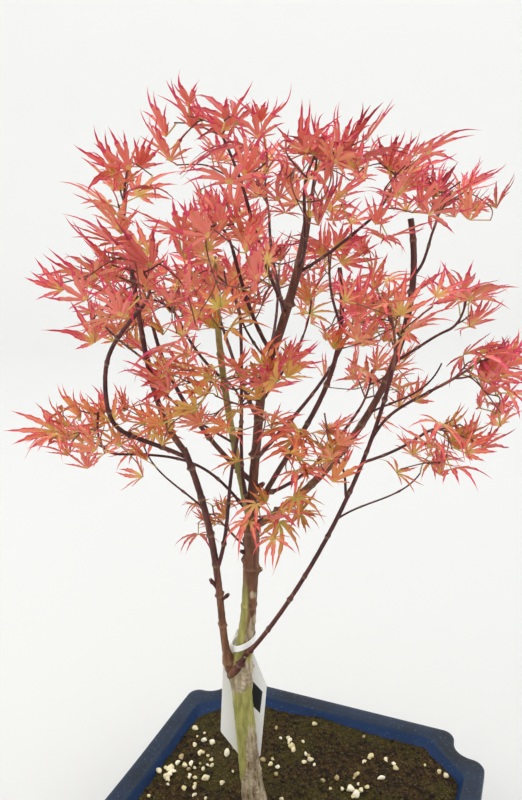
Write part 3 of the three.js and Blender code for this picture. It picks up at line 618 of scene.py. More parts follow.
def cross_ways(ways):
    """The two directions across a path at each of its points, carried along without a twist."""
    side, sideways = np.array([1.0, 0, 0]), []
    for way in ways:
        side = unit(side - way * way.dot(side))
        sideways.append(side)
    return np.array(sideways), np.cross(ways, sideways)


def bark_skin(path, radius_at, sides, step, dress, seed):
    """Points, faces and traits of the bark round a path, closed at both ends."""
    shares = np.linspace(0, 1, max(int(path.length / step), 4) + 1)
    centres = path.at(shares)
    sideways, frontways = cross_ways(path.way(shares))
    angle = np.linspace(0, 2 * math.pi, sides, endpoint=False)[None, :]
    walked = (shares * path.length)[:, None]
    radius = np.asarray(radius_at(centres[:, 2], shares))[:, None]
    relief, traits = dress(walked, centres[:, 2][:, None], angle, radius, path, seed)
    reach = (radius + relief + 0 * angle)[..., None]
    around = sideways[:, None] * np.cos(angle)[..., None] + frontways[:, None] * np.sin(angle)[..., None]
    points = (centres[:, None] + around * reach).reshape(-1, 3)
    points = np.vstack([points, centres[0], centres[-1]])
    rows, last = len(shares), len(points)
    turn = np.arange(sides)
    after = (turn + 1) % sides
    top = (rows - 1) * sides
    low = np.stack([np.full(sides, last - 2), after, turn], axis=1)
    high = np.stack([np.full(sides, last - 1), turn + top, after + top], axis=1)
    full = {name: np.append(np.broadcast_to(value, (rows, sides)).ravel(), [0, 0.6])
            for name, value in traits.items()}
    return points, ring_faces(rows, sides), np.vstack([low, high]), full


def dress_limb(walked, height, angle, radius, path, seed):
    relief, line = ring_relief(walked, angle, radius, bud_rings(path.length, seed))
    uneven = ripples(walked, angle, seed)
    old = smooth_step(1.0, 2.6, radius) * (1 - 0.75 * smooth_step(0.2, 0.6, walked / path.length))
    green = 0.12 + 0.3 * uneven * smooth_step(1.2, 2.2, radius)
    if path is paths["green_stem"]:
        green = 0.6 + 0.1 * uneven
    if path is paths["left_stem"]:
        relief = relief + 2.2 * bell(walked - 9, 12) * (1 + 0.3 * uneven)
    return relief + radius * 0.05 * uneven, {"old": old, "green": green, "worn": 0.12, "ring": line}


# [height, angle, how far it stands out, how wide it is] of the trunk's knobs and old cuts
KNOBS = [
    [184, -0.4, 2.2, 2.6], [190, 3.3, 1.6, 2.2], [203, 3.0, 1.3, 2.0], [238, 0.2, 2.4, 2.4],
    [118, -1.9, 1.6, 3.2], [109, 2.6, 1.9, 4.2], [100, 0.3, 1.2, 4.5], [104, -1.2, 1.5, 3.6],
    [114, 0.4, 1.5, 3.0], [148, -0.5, 0.7, 2.6], [31, 0.5, 0.9, 5], [14, 2.4, 1.0, 6],
]
# [height, angle, width, share] of pale scars
SCARS = [
    [139, -1.0, 7, 0.9], [150, -0.7, 4, 0.6], [112, -1.3, 9, 1.0], [104, 0.4, 7, 0.9],
    [118, 0.2, 5, 0.9], [168, -1.2, 4, 0.5], [104, -2.0, 6, 0.7],
]
SCAR_SPREAD = 0.75
# Heights between which one kind of bark gives way to the next
FOOT_END, LEADER_START, GREEN_END, SLIM_START = (44, 84), (120, 132), (156, 196), (214, 232)
GRAFT_HEIGHT, GRAFT_REACH, LOWEST_BUDS = 111, 11, 140


def knob_relief(height, angle, radius, fine):
    relief = 0
    for level, turn, out, width in KNOBS:
        lump = bell(height - level, width) * bell(angle_apart(angle, turn), width / radius * 0.9)
        relief = relief + out * lump * (1 + 0.35 * fine)
    return relief


def scarring(height, angle):
    return sum(share * bell(height - level, width) * bell(angle_apart(angle, turn), SCAR_SPREAD)
               for level, turn, width, share in SCARS)


def foot_bark(walked, height, angle, seed):
    """How much each spot is of the old foot, how far to its right it lies and how deep it is furrowed."""
    foot = 1 - smooth_step(*FOOT_END, height)
    right = np.clip(0.5 + 0.5 * np.cos(angle + 0.3) + 0.9 * (1 - smooth_step(8, 46, height)), 0, 1)
    cracks = np.abs(np.sin(angle * 6.5 + 2.2 * ripples(walked * 0.5, angle, seed + 2) + height * 0.03))
    furrow = (1 - smooth_step(0.05, 0.42, cracks)) * foot * smooth_step(0.25, 0.75, right)
    return foot, right, furrow


def dress_trunk(walked, height, angle, radius, path, seed):
    rise = np.maximum(height - CUT_HEIGHT, 0)
    flare = FLARE * (0.75 + 0.25 * np.cos(FLARE_LOBES * angle)) * bell(rise, FLARE_HEIGHT)
    uneven, fine = ripples(walked, angle, seed), ripples(walked * 3.1, angle * 2, seed + 1)
    leader, slim = smooth_step(*LEADER_START, height), smooth_step(*SLIM_START, height)
    foot, right, furrow = foot_bark(walked, height, angle, seed)
    graft = bell(height - GRAFT_HEIGHT, GRAFT_REACH)
    rings = [ring for ring in bud_rings(path.length, seed) if ring[0] > LOWEST_BUDS]
    relief, line = ring_relief(walked, angle, radius * mixed(0.45, 1, slim), rings)
    relief = relief + radius * (flare + 0.03 * uneven) + knob_relief(height, angle, radius, fine)
    relief = relief - 0.75 * furrow + 0.3 * foot * right * fine + graft * 0.55 * fine
    worn = 0.75 * foot * smooth_step(0.35, 0.8, right) * (1 - 0.8 * furrow)
    worn = worn + 0.1 + scarring(height, angle)
    green_stock = (1 - leader) * (0.95 - 0.75 * foot * smooth_step(0.3, 0.8, right)) * (1 - 0.55 * graft)
    green_leader = leader * (1 - slim) * (0.16 + 0.66 * smooth_step(0.15, 0.62, 1 - right))
    green_leader = green_leader * (1 - 0.8 * smooth_step(*GREEN_END, height))
    old = mixed(1, 0.75, leader) * mixed(1, 0.55, slim)
    traits = {"old": old - 0.5 * furrow, "green": green_stock + green_leader + slim * 0.15,
              "worn": worn, "ring": line * mixed(0.8, 1, slim)}
    return relief, traits


# The limbs, in the groups that share one skin
LIMB_GROUPS = {
    "left_boughs": ["left_stem", "left_rise", "loop_low", "loop_high", "left_inner"],
    "front_boughs": ["front_limb", "front_low", "front_outer", "front_spur"],
    "green_boughs": ["green_stem", "green_side", "inner_stem", "low_left", "left_spur", "back_left"],
    "right_boughs": ["right_stem", "far_right", "right_high", "low_right", "fork_spur"],
    "middle_boughs": ["middle_stem", "middle_side", "upper_left", "upper_right", "top_left", "top_front"],
    "rear_boughs": ["rear_left", "rear_middle", "rear_right", "rear_top"],
}
# [place, radius] up the thick foot by which the front limb crosses the graft
FRONT_FOOT = np.array([
    [-17.5, -3, 108.5, 2.5], [-15.2, -6.6, 113.5, 2.8], [-12.2, -8.8, 118.5, 2.6],
    [-9.6, -10.3, 123.5, 2.1], [-7.7, -11.6, 127.8, 1.55],
])
# Short dead spurs: what each grows on, the height there, the run of it and its radius
STUBS = [
    ("left_stem", 172, (-5.5, -2, 9), 1.3), ("left_stem", 164, (5.5, -3, 7), 1.2),
    ("trunk", 236, (7, -4, 7), 1.5), ("trunk", 182, (7, -3, 3), 1.7), ("trunk", 193, (-7, -2, 4), 1.3),
]
STUB_SWELL = [1.3, 0.85, 0.8, 1.15, 0.75]
BARK_STEP, THICK_LIMB, TRUNK_SIDES, THICK_SIDES, THIN_SIDES = 0.7, 1.6, 60, 20, 14
TRUNK_STEP, STUB_STEP = 0.75, 0.5


def trunk_skin():
    foot = paths["trunk"].share_at(CUT_HEIGHT + CLEAR)
    line = Path(paths["trunk"].at(np.linspace(foot, 1, 900)))
    return bark_skin(line, lambda height, share: trunk_radius(height), TRUNK_SIDES, TRUNK_STEP,
                     dress_trunk, SEED)


def limb_skin(limb, seed):
    path, radii = paths[limb[0]], limb[6]
    sides = THICK_SIDES if radii[0] > THICK_LIMB else THIN_SIDES
    return bark_skin(path, lambda height, share: mixed(*radii, share), sides, BARK_STEP, dress_limb, seed)


def front_foot():
    """The skin of the front limb's foot, which lies across the graft."""
    marks = np.linspace(0, 1, len(FRONT_FOOT))
    share = np.linspace(0, 1, 60)
    line = Path(np.stack([np.interp(share, marks, column) for column in FRONT_FOOT[:, :3].T], axis=1))
    return bark_skin(line, lambda height, along: np.interp(along, marks, FRONT_FOOT[:, 3]), THICK_SIDES,
                     BARK_STEP, dress_limb, SEED)


def stub(on, height, run, radius):
    """The skin of a short dead spur, knobbly at its end."""
    foot = paths[on].at(paths[on].share_at(height))
    path = Path(foot + np.linspace(0, 1, 24)[:, None] * run)
    marks = np.linspace(0, 1, len(STUB_SWELL))
    return bark_skin(path, lambda level, share: radius * np.interp(share, marks, STUB_SWELL), THIN_SIDES,
                     STUB_STEP, dress_limb, SEED + height)


def bark_piece(name, skins, slot, nodes):
    """Several skins of bark as one piece, which stands for the nodes under them."""
    points, quads = joined([skin[:2] for skin in skins])
    ends = joined([(skin[0], skin[2]) for skin in skins])[1]
    traits = {trait: np.concatenate([skin[3][trait] for skin in skins]) for trait in skins[0][3]}
    ride(make_piece(name, in_row(points), [quads, ends], [bark], traits=traits), slot, *nodes)


def limb_skins(name, limbs):
    return [limb_skin(limb, SEED + len(name) * 7 + k * 13) for k, limb in enumerate(limbs)]


def tree_bark():
    bark_piece("trunk_bark", [trunk_skin()], "old_bark", ["trunk"])
    for name, members in LIMB_GROUPS.items():
        skins = limb_skins(name, [limb for limb in LIMBS if limb[0] in members])
        if "front_limb" in members:
            skins.append(front_foot())
        bark_piece(name, skins, "young_bark", members)
    spurs = [stub(*spur) for spur in STUBS]
    bark_piece("side_twigs", limb_skins("side_twigs", SIDE_TWIGS) + spurs, "young_bark", [])


def ride(piece, slot, *nodes):
    """The piece belongs to the one body and stands for its nodes; `slot` is not used."""
    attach(piece, "root")
    if nodes:
        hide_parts(*nodes)


# Leaves

# [angle from the middle lobe, length, half width] of a leaf of length 1
LOBES = [
    (-122, 0.46, 0.046), (-81, 0.79, 0.061), (-40, 1, 0.07), (0, 1.08, 0.074),
    (40, 1, 0.07), (81, 0.79, 0.061), (122, 0.46, 0.046),
]
STATIONS = np.array([0.1, 0.2, 0.3, 0.4, 0.5, 0.6, 0.7, 0.8, 0.9])
WIDTHS = np.interp(STATIONS, [0, 0.2, 0.44, 0.6, 0.74, 0.88, 1], [0.3, 0.72, 1, 0.76, 0.4, 0.16, 0.03])
TEETH = np.array([1, 1, 0.94, 1.14, 0.86, 1.2, 0.82, 1.22, 0.9])
CROSS = np.array([-1, -0.45, 0, 0.45, 1])
SHEET = 0.011
# kind: how far its lobes gather, lift, droop, fold and hook, and how they vary
LEAF_KINDS = {
    "open": (1, 0.05, 0.14, 0.4, 0.5), "cup": (0.96, 0.72, 0.3, 0.45, -0.5),
    "fan": (0.62, 0.3, 0.06, 0.7, -0.7), "drooping": (0.92, 0.14, 0.5, 0.5, 0.8),
    "young": (0.42, 0.16, 0.08, 1.1, -0.9),
}
KIND_SHARES = (0.16, 0.32, 0.3, 0.12, 0.1)
PATTERNS = 7
# A row across a lobe: five points on top and one below, and the zones that its faces are tinted by
LOBE_ROW = len(CROSS) + 1
HEART, BLADE, MARGIN = range(3)
# How far up a lobe its heart and its blade end, beside the midrib, along the edge and below
MIDRIB_ZONES, EDGE_ZONES, UNDERSIDE_BLADE = (0.3, 0.66), (0.16, 0.4), 0.6


def lobe_points(turn, length, half_width, sweep, droop, fold, lift, hook):
    """One closed lobe: the stalk's end, rows of five on top and one below, then the tip."""
    gap = math.tan(math.radians(20))
    width = np.minimum(WIDTHS * half_width * TEETH, STATIONS * length * gap + 0.004)
    out = np.append(STATIONS, 1) * length
    out[:-1] += np.where(TEETH > 1.05, 0.018, 0)
    aside = sweep * out**2
    level = lift * out - droop * out**2 - hook * np.maximum(out - 0.62 * length, 0) ** 2
    cross = CROSS[None, :] * width[:, None]
    top = np.stack([cross + aside[:-1, None], out[:-1, None] + 0 * cross,
                    level[:-1, None] + fold * np.abs(cross)], axis=-1)
    below = top[:, 2:3] - [0, 0, SHEET]
    rows = np.concatenate([top, below], axis=1).reshape(-1, 3)
    points = np.vstack([[0, 0, -SHEET / 2], rows, [aside[-1], out[-1], level[-1]]])
    return points @ spin(math.radians(turn)) / math.hypot(1, lift)


def leaf_pattern(kind, seed):
    """A leaf of length 1 with its stalk's end at the origin, its middle lobe along +Y, facing +Z."""
    chance = np.random.default_rng(seed)
    gather, lift, droop, fold, hook = LEAF_KINDS[kind]
    gather *= chance.uniform(0.85, 1.05)
    lobes = []
    for turn, length, width in LOBES:
        lobes.append(lobe_points(
            turn * gather + chance.normal(0, 4.5), length * chance.uniform(0.85, 1.08),
            width * chance.uniform(0.82, 1.12), chance.normal(0, 0.13), droop + chance.normal(0, 0.09),
            fold * chance.uniform(0.5, 1.4), lift + chance.normal(0, 0.09), hook + chance.normal(0, 0.7)))
    return np.vstack(lobes)


def leaf_faces():
    """Quads and triangles of a whole leaf, and for each its zone: heart, blade or margin."""
    rows = [1 + LOBE_ROW * j for j in range(len(STATIONS))]
    first, last, tip = rows[0], rows[-1], 1 + LOBE_ROW * len(STATIONS)
    quads, quad_zones, tris, tri_zones = [], [], [], []
    for k in range(4):
        tris += [(0, first + k + 1, first + k), (last + k, last + k + 1, tip)]
        tri_zones += [HEART, MARGIN]
    tris += [(0, first, first + 5), (0, first + 5, first + 4)]
    tris += [(last + 5, last, tip), (last + 4, last + 5, tip)]
    tri_zones += [HEART, HEART, MARGIN, MARGIN]
    for near, far, share in zip(rows, rows[1:], STATIONS):
        for k in range(4):
            quads.append((near + k, near + k + 1, far + k + 1, far + k))
            heart, blade = MIDRIB_ZONES if k in (1, 2) else EDGE_ZONES
            quad_zones.append(HEART if share < heart else BLADE if share < blade else MARGIN)
        quads += [(near + 5, near, far, far + 5), (near + 4, near + 5, far + 5, far + 4)]
        quad_zones += [BLADE if share < UNDERSIDE_BLADE else MARGIN] * 2
    offsets = np.arange(len(LOBES))[:, None, None] * (tip + 1)
    return ((np.array(quads)[None] + offsets).reshape(-1, 4), np.tile(quad_zones, len(LOBES)),
            (np.array(tris)[None] + offsets).reshape(-1, 3), np.tile(tri_zones, len(LOBES)))


patterns = {kind: [leaf_pattern(kind, SEED + 31 * k + n) for n in range(PATTERNS)]
            for k, kind in enumerate(LEAF_KINDS)}


# Growth

def leaf_blade(hub, out, face, length):
    """The outline that a leaf's clearances are tested by, as the solids have it."""
    side = unit(np.cross(face, out))
    top = unit(np.cross(out, side))
    marks = [(-LEAF_BASE[0], LEAF_BASE[1])]
    for k, (turn, reach) in enumerate(LEAF_LOBES):
        if k:
            marks.append(((LEAF_LOBES[k - 1][0] + turn) / 2, LEAF_SINUS))
        marks.append((turn, reach))
    marks.append(LEAF_BASE)
    turns, reaches = np.array(marks, float).T
    turns = np.radians(turns)
    flat = np.cos(turns)[:, None] * out + np.sin(turns)[:, None] * side
    blade = hub + length * reaches[:, None] * flat - top * (LEAF_DROOP * length * reaches**2)[:, None]
    return (hub + (blade - hub)[:, None] * np.array([1, 0.8, 0.6, 0.4, 0.2])[:, None]).reshape(-1, 3)


def measure_bark():
    """The trunk and limbs as short straight lengths: [starts, runs, radii]."""
    starts, runs, radii = [], [], []
    for limb in [None, *LIMBS]:
        path = paths[limb[0] if limb else "trunk"]
        steps = LIMB_LENGTHS if limb else TRUNK_LENGTHS
        marks = path.at(np.linspace(0, 1, steps + 1))
        middles = (np.arange(steps) + 0.5) / steps
        starts.append(marks[:-1])
        runs.append(np.diff(marks, axis=0))
        radii.append(mixed(*limb[6], middles) if limb else trunk_radius(path.at(middles)[:, 2]))
    return np.vstack(starts), np.vstack(runs), np.concatenate(radii)


bark_lengths = measure_bark()


def bark_distance(points):
    """How near any of the points comes to the bark of the trunk and the limbs."""
    start, run, radius = bark_lengths
    offset = points[:, None] - start
    share = np.clip((offset * run).sum(-1) / (run * run).sum(-1), 0, 1)
    return (np.linalg.norm(offset - share[..., None] * run, axis=-1) - radius).min()


def gap_between(points, others):
    """How near two sets of points come to each other."""
    if not len(others):
        return math.inf
    return np.linalg.norm(points[:, None] - others, axis=-1).min()


class Twig:
    """A slim twig in one bend."""

    def __init__(self, start, bend_point, end, radii, spray):
        self.start, self.bend_point, self.end = start, bend_point, end
        self.radii, self.spray = radii, spray

    def line(self, count=40):
        share = np.linspace(0, 1, count + 1)[:, None]
        rest = 1 - share
        return Path(rest**2 * self.start + 2 * rest * share * self.bend_point + share**2 * self.end)


class Spray:
    """One mass as it grows from the tip of its limb."""

    def __init__(self, index):
        self.index = index
        self.name, self.limb, _, self.reach, self.leaf = MASSES[index]
        self.middle = MIDDLES[index]
        self.dice = Dice(SEED + index * 97)
        self.taken = self.hubs = np.empty((0, 3))
        self.leaves, self.twigs = [], []
        self.fine_reach = self.reach * STRETCH.get(self.name, 1)
        self.fine_middle = self.middle + SHIFTS.get(self.name, (0, 0, 0))
        self.wanted = FINE_LEAVES * (self.reach / USUAL_REACH) ** 2 * FULLNESS.get(self.name, 1)
        self.apart = np.linalg.norm(MIDDLES - self.middle, axis=1)
        self.apart[index] = 1
        self.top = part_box(self.name)[1].z / MM - TREE_LEVEL

    def within(self, points, reach):
        return ((points - self.middle) ** 2).sum(axis=1).max() <= reach**2

    def on_own_side(self, points):
        power = ((points[:, None] - MIDDLES) ** 2).sum(-1) - REACHES**2
        gaps = (power - power[:, [self.index]]) / (2 * self.apart)
        gaps[:, self.index] = np.inf
        return gaps.min() > CLEAR

    def clear(self, points, margin, reach):
        return self.within(points, reach) and self.on_own_side(points) and bark_distance(points) > margin

    def has_room(self, points):
        """Whether a leaf has the room that the solids give it."""
        apart = gap_between(points, self.taken) >= LEAF_MARGIN
        return apart and self.clear(points, LIMB_MARGIN, self.reach)

    def has_fine_room(self, hub, points):
        """Whether a finer leaf keeps off the other hubs, the limbs and the crown's top."""
        return (hub[2] <= self.top - FINE_HEADROOM and gap_between(hub[None], self.hubs) >= FINE_MARGIN
                and self.within(points, self.fine_reach) and self.on_own_side(hub[None])
                and bark_distance(points) >= FINE_LIMB_MARGIN)

    def try_leaf(self, node, way, spray, fine=False):
        """A leaf on its stalk, if it has room."""
        dice = self.dice
        usual = (STALK_LENGTH, LEAF_LENGTH, self.leaf)
        stalks, lengths, scale = (FINE_STALK, FINE_LENGTH, 1) if fine else usual
        stalk_way = unit(way + UP * dice.between(*STALK_RISE))
        hub = node + stalk_way * dice.between(*stalks) * scale
        level = unit([stalk_way[0], stalk_way[1], 0])
        tilt = math.radians(dice.between(*LEAF_TILT))
        out = level * math.cos(tilt) + UP * math.sin(tilt)
        face = turned(UP, level, dice.between(*LEAF_ROLL))
        length = dice.between(*lengths) * scale
        if fine:
            out, face = self.posed(hub, out, face)
        points = leaf_blade(hub, out, face, length)
        if not (self.has_fine_room(hub, points) if fine else self.has_room(points)):
            return False
        self.taken, self.hubs = np.vstack([self.taken, points]), np.vstack([self.hubs, hub])
        if not fine:
            out, face = self.posed(hub, out, face)
            length *= LIFE_SIZE
        self.leaves.append({
            "root": node, "hub": hub, "out": out, "face": face, "length": length, "spray": spray})
        return True

    def posed(self, hub, out, face):
        """A leaf swung outward and up, towards the light round the crown."""
        outward = unit(hub - CROWN_MIDDLE)
        out = unit(out + outward * OUT_PULL + UP * UP_PULL)
        face = unit(face + outward * (0.2 + 0.3 * math.sin(hub[0] * 0.7 + hub[2])))
        return out, unit(face - out * face.dot(out))

    def add_leaf(self, node, way, spray):
        for tries in range(LEAF_TRIES):
            if len(self.leaves) >= LEAVES_MOST:
                return False
            stray = turned_from(way, self.dice.between(0, 360), tries * LEAF_STRAY)
            if self.try_leaf(node, stray, spray):
                return True
        return False

    def add_pair(self, node, way, turn, spray):
        grown = []
        for k in (0, 1):
            root = node - way * k * STALK_STEP
            stalk_way = turned_from(way, turn + k * 180, self.dice.between(*LEAF_SPREAD))
            grown.append(self.add_leaf(root, stalk_way, spray))
        return any(grown)

    def add_shoot(self, node, way, length, turn, spray):
        end = node + way * length
        if not self.clear(node + way * length * np.array([[0.4], [0.7], [1]]), LIMB_MARGIN, self.reach):
            return
        if self.add_pair(end - way * STALK_STEP / 2, way, turn, spray):
            bend_point = (node + end) / 2 - UP * length * SHOOT_SAG
            self.twigs.append(Twig(node, bend_point, end, SHOOT_RADIUS, spray))

    def grow(self):
        """The stem, its shoots and its leaves, by the rule of the solids."""
        dice = self.dice
        path = paths[self.limb]
        tip, along = path.points[-1], unit(path.points[-1] - path.points[-2])
        start = tip + along * CLEAR
        run = np.linalg.norm(start - self.middle)
        end = self.middle + UP * self.reach * STEM_RISE
        stem = Twig(start, start + along * run * 0.5, end, STEM_RADIUS, 0)
        line = stem.line(200)
        stem.start = start - along * STEM_ROOT
        self.twigs.append(stem)
        first_turn = dice.between(0, 180)
        for k in range(NODES):
            share = mixed(FIRST_NODE, LAST_NODE, k / (NODES - 1))
            node, way = line.at(share), line.way(share)
            turn = first_turn + k * 90
            if k % 2:
                self.add_pair(node, way, turn, k)
                continue
            for side in (0, 180):
                length = self.reach * mixed(*SHOOT_REACH, share) * dice.between(*SHOOT_STRETCH)
                shoot_way = turned_from(way, turn + side, dice.between(*SHOOT_SPREAD))
                self.add_shoot(node, shoot_way, length, turn + 90, k * 2 + side / 180)
        self.add_leaf(line.at(LAST_NODE + 0.02), line.way(1), NODES)

    def emptiest(self):
        """The roomiest of a few places in the mass's own space, or None."""
        dice, best, most = self.dice, None, FINE_SPACING
        for _ in range(FINE_LOOKS):
            way = heading(dice.between(0, 360), math.degrees(math.acos(dice.between(-1, 1))))
            place = self.fine_middle + way * FINE_FORM * self.fine_reach * dice.roll() ** (1 / 3)
            if place[2] > self.top - FINE_HEADROOM or not self.on_own_side(place[None]):
                continue
            room = np.linalg.norm(self.hubs - place, axis=1).min()
            if room > most:
                best, most = place, room
        return best

    def grow_finer(self):
        """Finer twigs that arch off towards the emptiest places, with three leaves at each end."""
        lines = [twig.line(FINE_STEPS) for twig in self.twigs]
        nodes = np.vstack([line.points[3:] for line in lines])
        ways = np.vstack([line.way(OUTER_SHARES) for line in lines])
        for _ in range(FINE_TRIES):
            end = self.emptiest()
            if end is None or len(self.leaves) >= self.wanted:
                continue
            runs = end - nodes
            lengths = np.linalg.norm(runs, axis=1)
            turns = 1 - (runs * ways).sum(axis=1) / lengths
            best = np.argmin(lengths * (1 + TURN_COST * turns))
            node, way, length = nodes[best], ways[best], lengths[best]
            if turns[best] > TURN_MOST or not FINE_REACH[0] < length / self.reach < FINE_REACH[1]:
                continue
            spray = len(self.twigs) + 10
            twig = Twig(node, node + way * length * BEND_SHARE, end, FINE_RADIUS, spray)
            line = twig.line(FINE_STEPS)
            if not self.clear(line.points[4:], FINE_LIMB_MARGIN, self.fine_reach):
                continue
            if self.leaf_three(end, line.way(1), spray):
                self.twigs.append(twig)
                nodes = np.vstack([nodes, line.points[3:]])
                ways = np.vstack([ways, line.way(OUTER_SHARES)])

    def leaf_three(self, end, way, spray):
        """A pair of leaves and one more at a twig's end."""
        turn, grown = self.dice.between(0, 360), 0
        for side in (0, 180):
            stray = turned_from(way, turn + side, self.dice.between(*LEAF_SPREAD))
            grown += self.try_leaf(end - way * side / 180, stray, spray, fine=True)
        return grown + self.try_leaf(end, way, spray, fine=True)

    def clothe(self, path):
        """Leaves up the last part of a side twig."""
        for share in SIDE_NODES:
            self.leaf_three(path.at(share), path.way(share), 500 + len(self.leaves))


def tubes(lines, bend_points, ends, radii, sides, steps, swell=0.0):
    """Points and faces of many small round twigs at once."""
    lines, bend_points, ends = [np.asarray(group, float)[:, None] for group in (lines, bend_points, ends)]
    share = np.linspace(0, 1, steps + 1)[None, :, None]
    rest = 1 - share
    centres = rest**2 * lines + 2 * rest * share * bend_points + share**2 * ends
    ways = unit(2 * rest * (bend_points - lines) + 2 * share * (ends - bend_points))
    chord = unit(ends - lines)
    level = np.where(np.abs(chord[..., 2:]) < 0.9, UP, [1.0, 0, 0])
    across = np.cross(chord, level)
    across = unit(across - ways * (across * ways).sum(-1, keepdims=True))
    over = np.cross(ways, across)
    low, high = np.asarray(radii, float).T[:, :, None]
    radius = mixed(low, high, share[..., 0]) * (1 + swell * bell(share[..., 0] - 0.97, 0.06))
    angle = np.linspace(0, 2 * math.pi, sides, endpoint=False)
    around = across[:, :, None] * np.cos(angle)[:, None] + over[:, :, None] * np.sin(angle)[:, None]
    points = centres[:, :, None] + around * radius[..., None, None]
    count = len(lines)
    base = (np.arange(count) * (steps + 1) * sides)[:, None, None]
    quads = (ring_faces(steps + 1, sides)[None] + base).reshape(-1, 4)
    turn = np.arange(sides)
    caps = (np.stack([turn[::-1], turn + steps * sides])[None] + base).reshape(-1, sides)
    return points.reshape(-1, 3), quads, caps


# [least warmth, one tint, the other, share of the first]
TINT_STEPS = [
    (1.42, "wine", "rose", 0.3), (0.98, "rose", "coral", 0.45), (0.66, "coral", "flame", 0.55),
    (-math.inf, "flame", "amber", 0.5),
]
CROWN_SPREAD = np.array([130, 110, 130])
TWIG_TONES = ["#552524", "#6b382c", "#7c4c36"]
STALK_TONES = ["#bfa955", "#cb985a", "#c46e57", "#ab9b49"]
STALK_RADIUS, STALK_ARCH, TIP_SWELL = (0.42, 0.3), 0.13, 0.3
# Size of young leaves, height of standing ones against their length, most that a leaf is lowered and
# least room above it
YOUNG_SIZE, STANDING, LOWER_MOST, LEAST_ROOM = 0.8, 0.8, 14, 1.5
# How many sides and steps the tubes have
TWIG_GRID, STALK_GRID = (8, 9), (6, 6)


def tint_of(leaf, chance):
    """The tint that a spray's leaves take: more orange inside and low down, rosier outside."""
    outside = np.linalg.norm((leaf["hub"] - CROWN_MIDDLE) / CROWN_SPREAD)
    warmth = chance.random() * 0.9 + outside * 0.75 + (leaf["hub"][2] - 330) / 400
    for least, first, second, share in TINT_STEPS:
        if warmth > least:
            return first if chance.random() < share else second


def leaf_pose(leaf, chance):
    """[kind, way out, face] of one leaf: cupped and fanned leaves stand up and lean outward."""
    outward = unit((leaf["hub"] - CROWN_MIDDLE) * [1, 1, 0.3])
    level = unit([outward[0], outward[1], 0.001])
    out, face = leaf["out"], leaf["face"]
    kind = chance.choice(list(LEAF_KINDS), p=KIND_SHARES)
    if kind == "cup":
        face = unit(UP + outward * chance.uniform(0, 0.9) + chance.normal(0, 0.25, 3))
    elif kind in ("fan", "young"):
        flat = unit(out * [1, 1, 0.3])
        out = unit(flat * chance.uniform(0.3, 1) + UP * chance.uniform(0.1, 0.9) + level * 0.3)
        face = turned(unit(np.cross(out, np.cross(UP, out))), out, chance.uniform(-75, 75))
    elif kind == "drooping":
        face = unit(UP + level * chance.uniform(0, 0.7) + chance.normal(0, 0.15, 3))
    face = unit(face - out * face.dot(out))
    return kind, out, face


def leaf_points(leaf, top, chance):
    """The points of a leaf of the tree, pressed down where it would stand above its mass."""
    kind, out, face = leaf_pose(leaf, chance)
    leaf["turned_out"] = out
    length = leaf["length"] * (YOUNG_SIZE if kind == "young" else 1)
    hub = leaf["hub"]
    if kind in ("cup", "fan", "young"):
        hub[2] -= min(max(hub[2] + STANDING * length - top, 0), LOWER_MOST)
    right = unit(np.cross(out, face))
    basis = np.stack([right, out, np.cross(right, out)])
    points = patterns[kind][int(chance.random() * PATTERNS)] @ basis * length
    rise, room = points[:, 2].max(), max(top - hub[2], LEAST_ROOM)
    if rise > room:
        points[:, 2] *= np.where(points[:, 2] > 0, room / rise, 1)
    return hub + points


def leaf_piece(spray, chance):
    """All the leaves of one mass, each laid out from one of the patterns."""
    quads, quad_zones, tris, tri_zones = leaf_faces()
    names = list(TINTS)
    points, quad_slots, tri_slots, tints = [], [], [], {}
    for leaf in spray.leaves:
        if leaf["spray"] not in tints:
            tints[leaf["spray"]] = names.index(tint_of(leaf, chance))
        first = tints[leaf["spray"]] * 3
        points.append(leaf_points(leaf, spray.top, chance))
        quad_slots.append(quad_zones + first)
        tri_slots.append(tri_zones + first)
    offsets = (np.arange(len(points)) * len(points[0]))[:, None, None]
    faces = [(group[None] + offsets).reshape(-1, group.shape[1]) for group in (quads, tris)]
    slots = np.concatenate(quad_slots + tri_slots)
    used = np.unique(slots)
    piece = make_piece(spray.name.replace("leaves_", "leafage_"), in_row(np.vstack(points)), faces,
                       [leaf_finishes[k] for k in used], np.searchsorted(used, slots), smooth=False)
    ride(piece, "leaf", spray.name)


def tube_piece(name, tubing, grid, tones, slot, chance):
    """Many small tubes as one piece, each in one of a few plain tones."""
    points, quads, caps = tubing
    tone = chance.integers(0, len(tones), len(caps) // 2)
    finishes = [plain_finish(f"{name}_{k}", code, 0.5) for k, code in enumerate(tones)]
    slots = np.concatenate([np.repeat(tone, math.prod(grid)), np.repeat(tone, 2)])
    ride(make_piece(name, in_row(points), [quads, caps], finishes, slots), slot)


def fine_twigs(twigs, chance):
    starts, bend_points, ends, radii = zip(
        *[(twig.start, twig.bend_point, twig.end, twig.radii) for twig in twigs])
    tubing = tubes(starts, bend_points, ends, radii, *TWIG_GRID, TIP_SWELL)
    tube_piece("fine_twigs", tubing, TWIG_GRID, TWIG_TONES, "young_bark", chance)


def leaf_stalks(leaves, chance):
    parts = ("root", "hub", "turned_out")
    roots, hubs, out = [np.array([leaf[part] for leaf in leaves]) for part in parts]
    span = np.linalg.norm(hubs - roots, axis=1)[:, None]
    meets = (roots + hubs) / 2 + (UP - out) * span * STALK_ARCH
    tubing = tubes(roots, meets, hubs, np.tile(STALK_RADIUS, (len(leaves), 1)), *STALK_GRID)
    tube_piece("leaf_stalks", tubing, STALK_GRID, STALK_TONES, "leaf", chance)


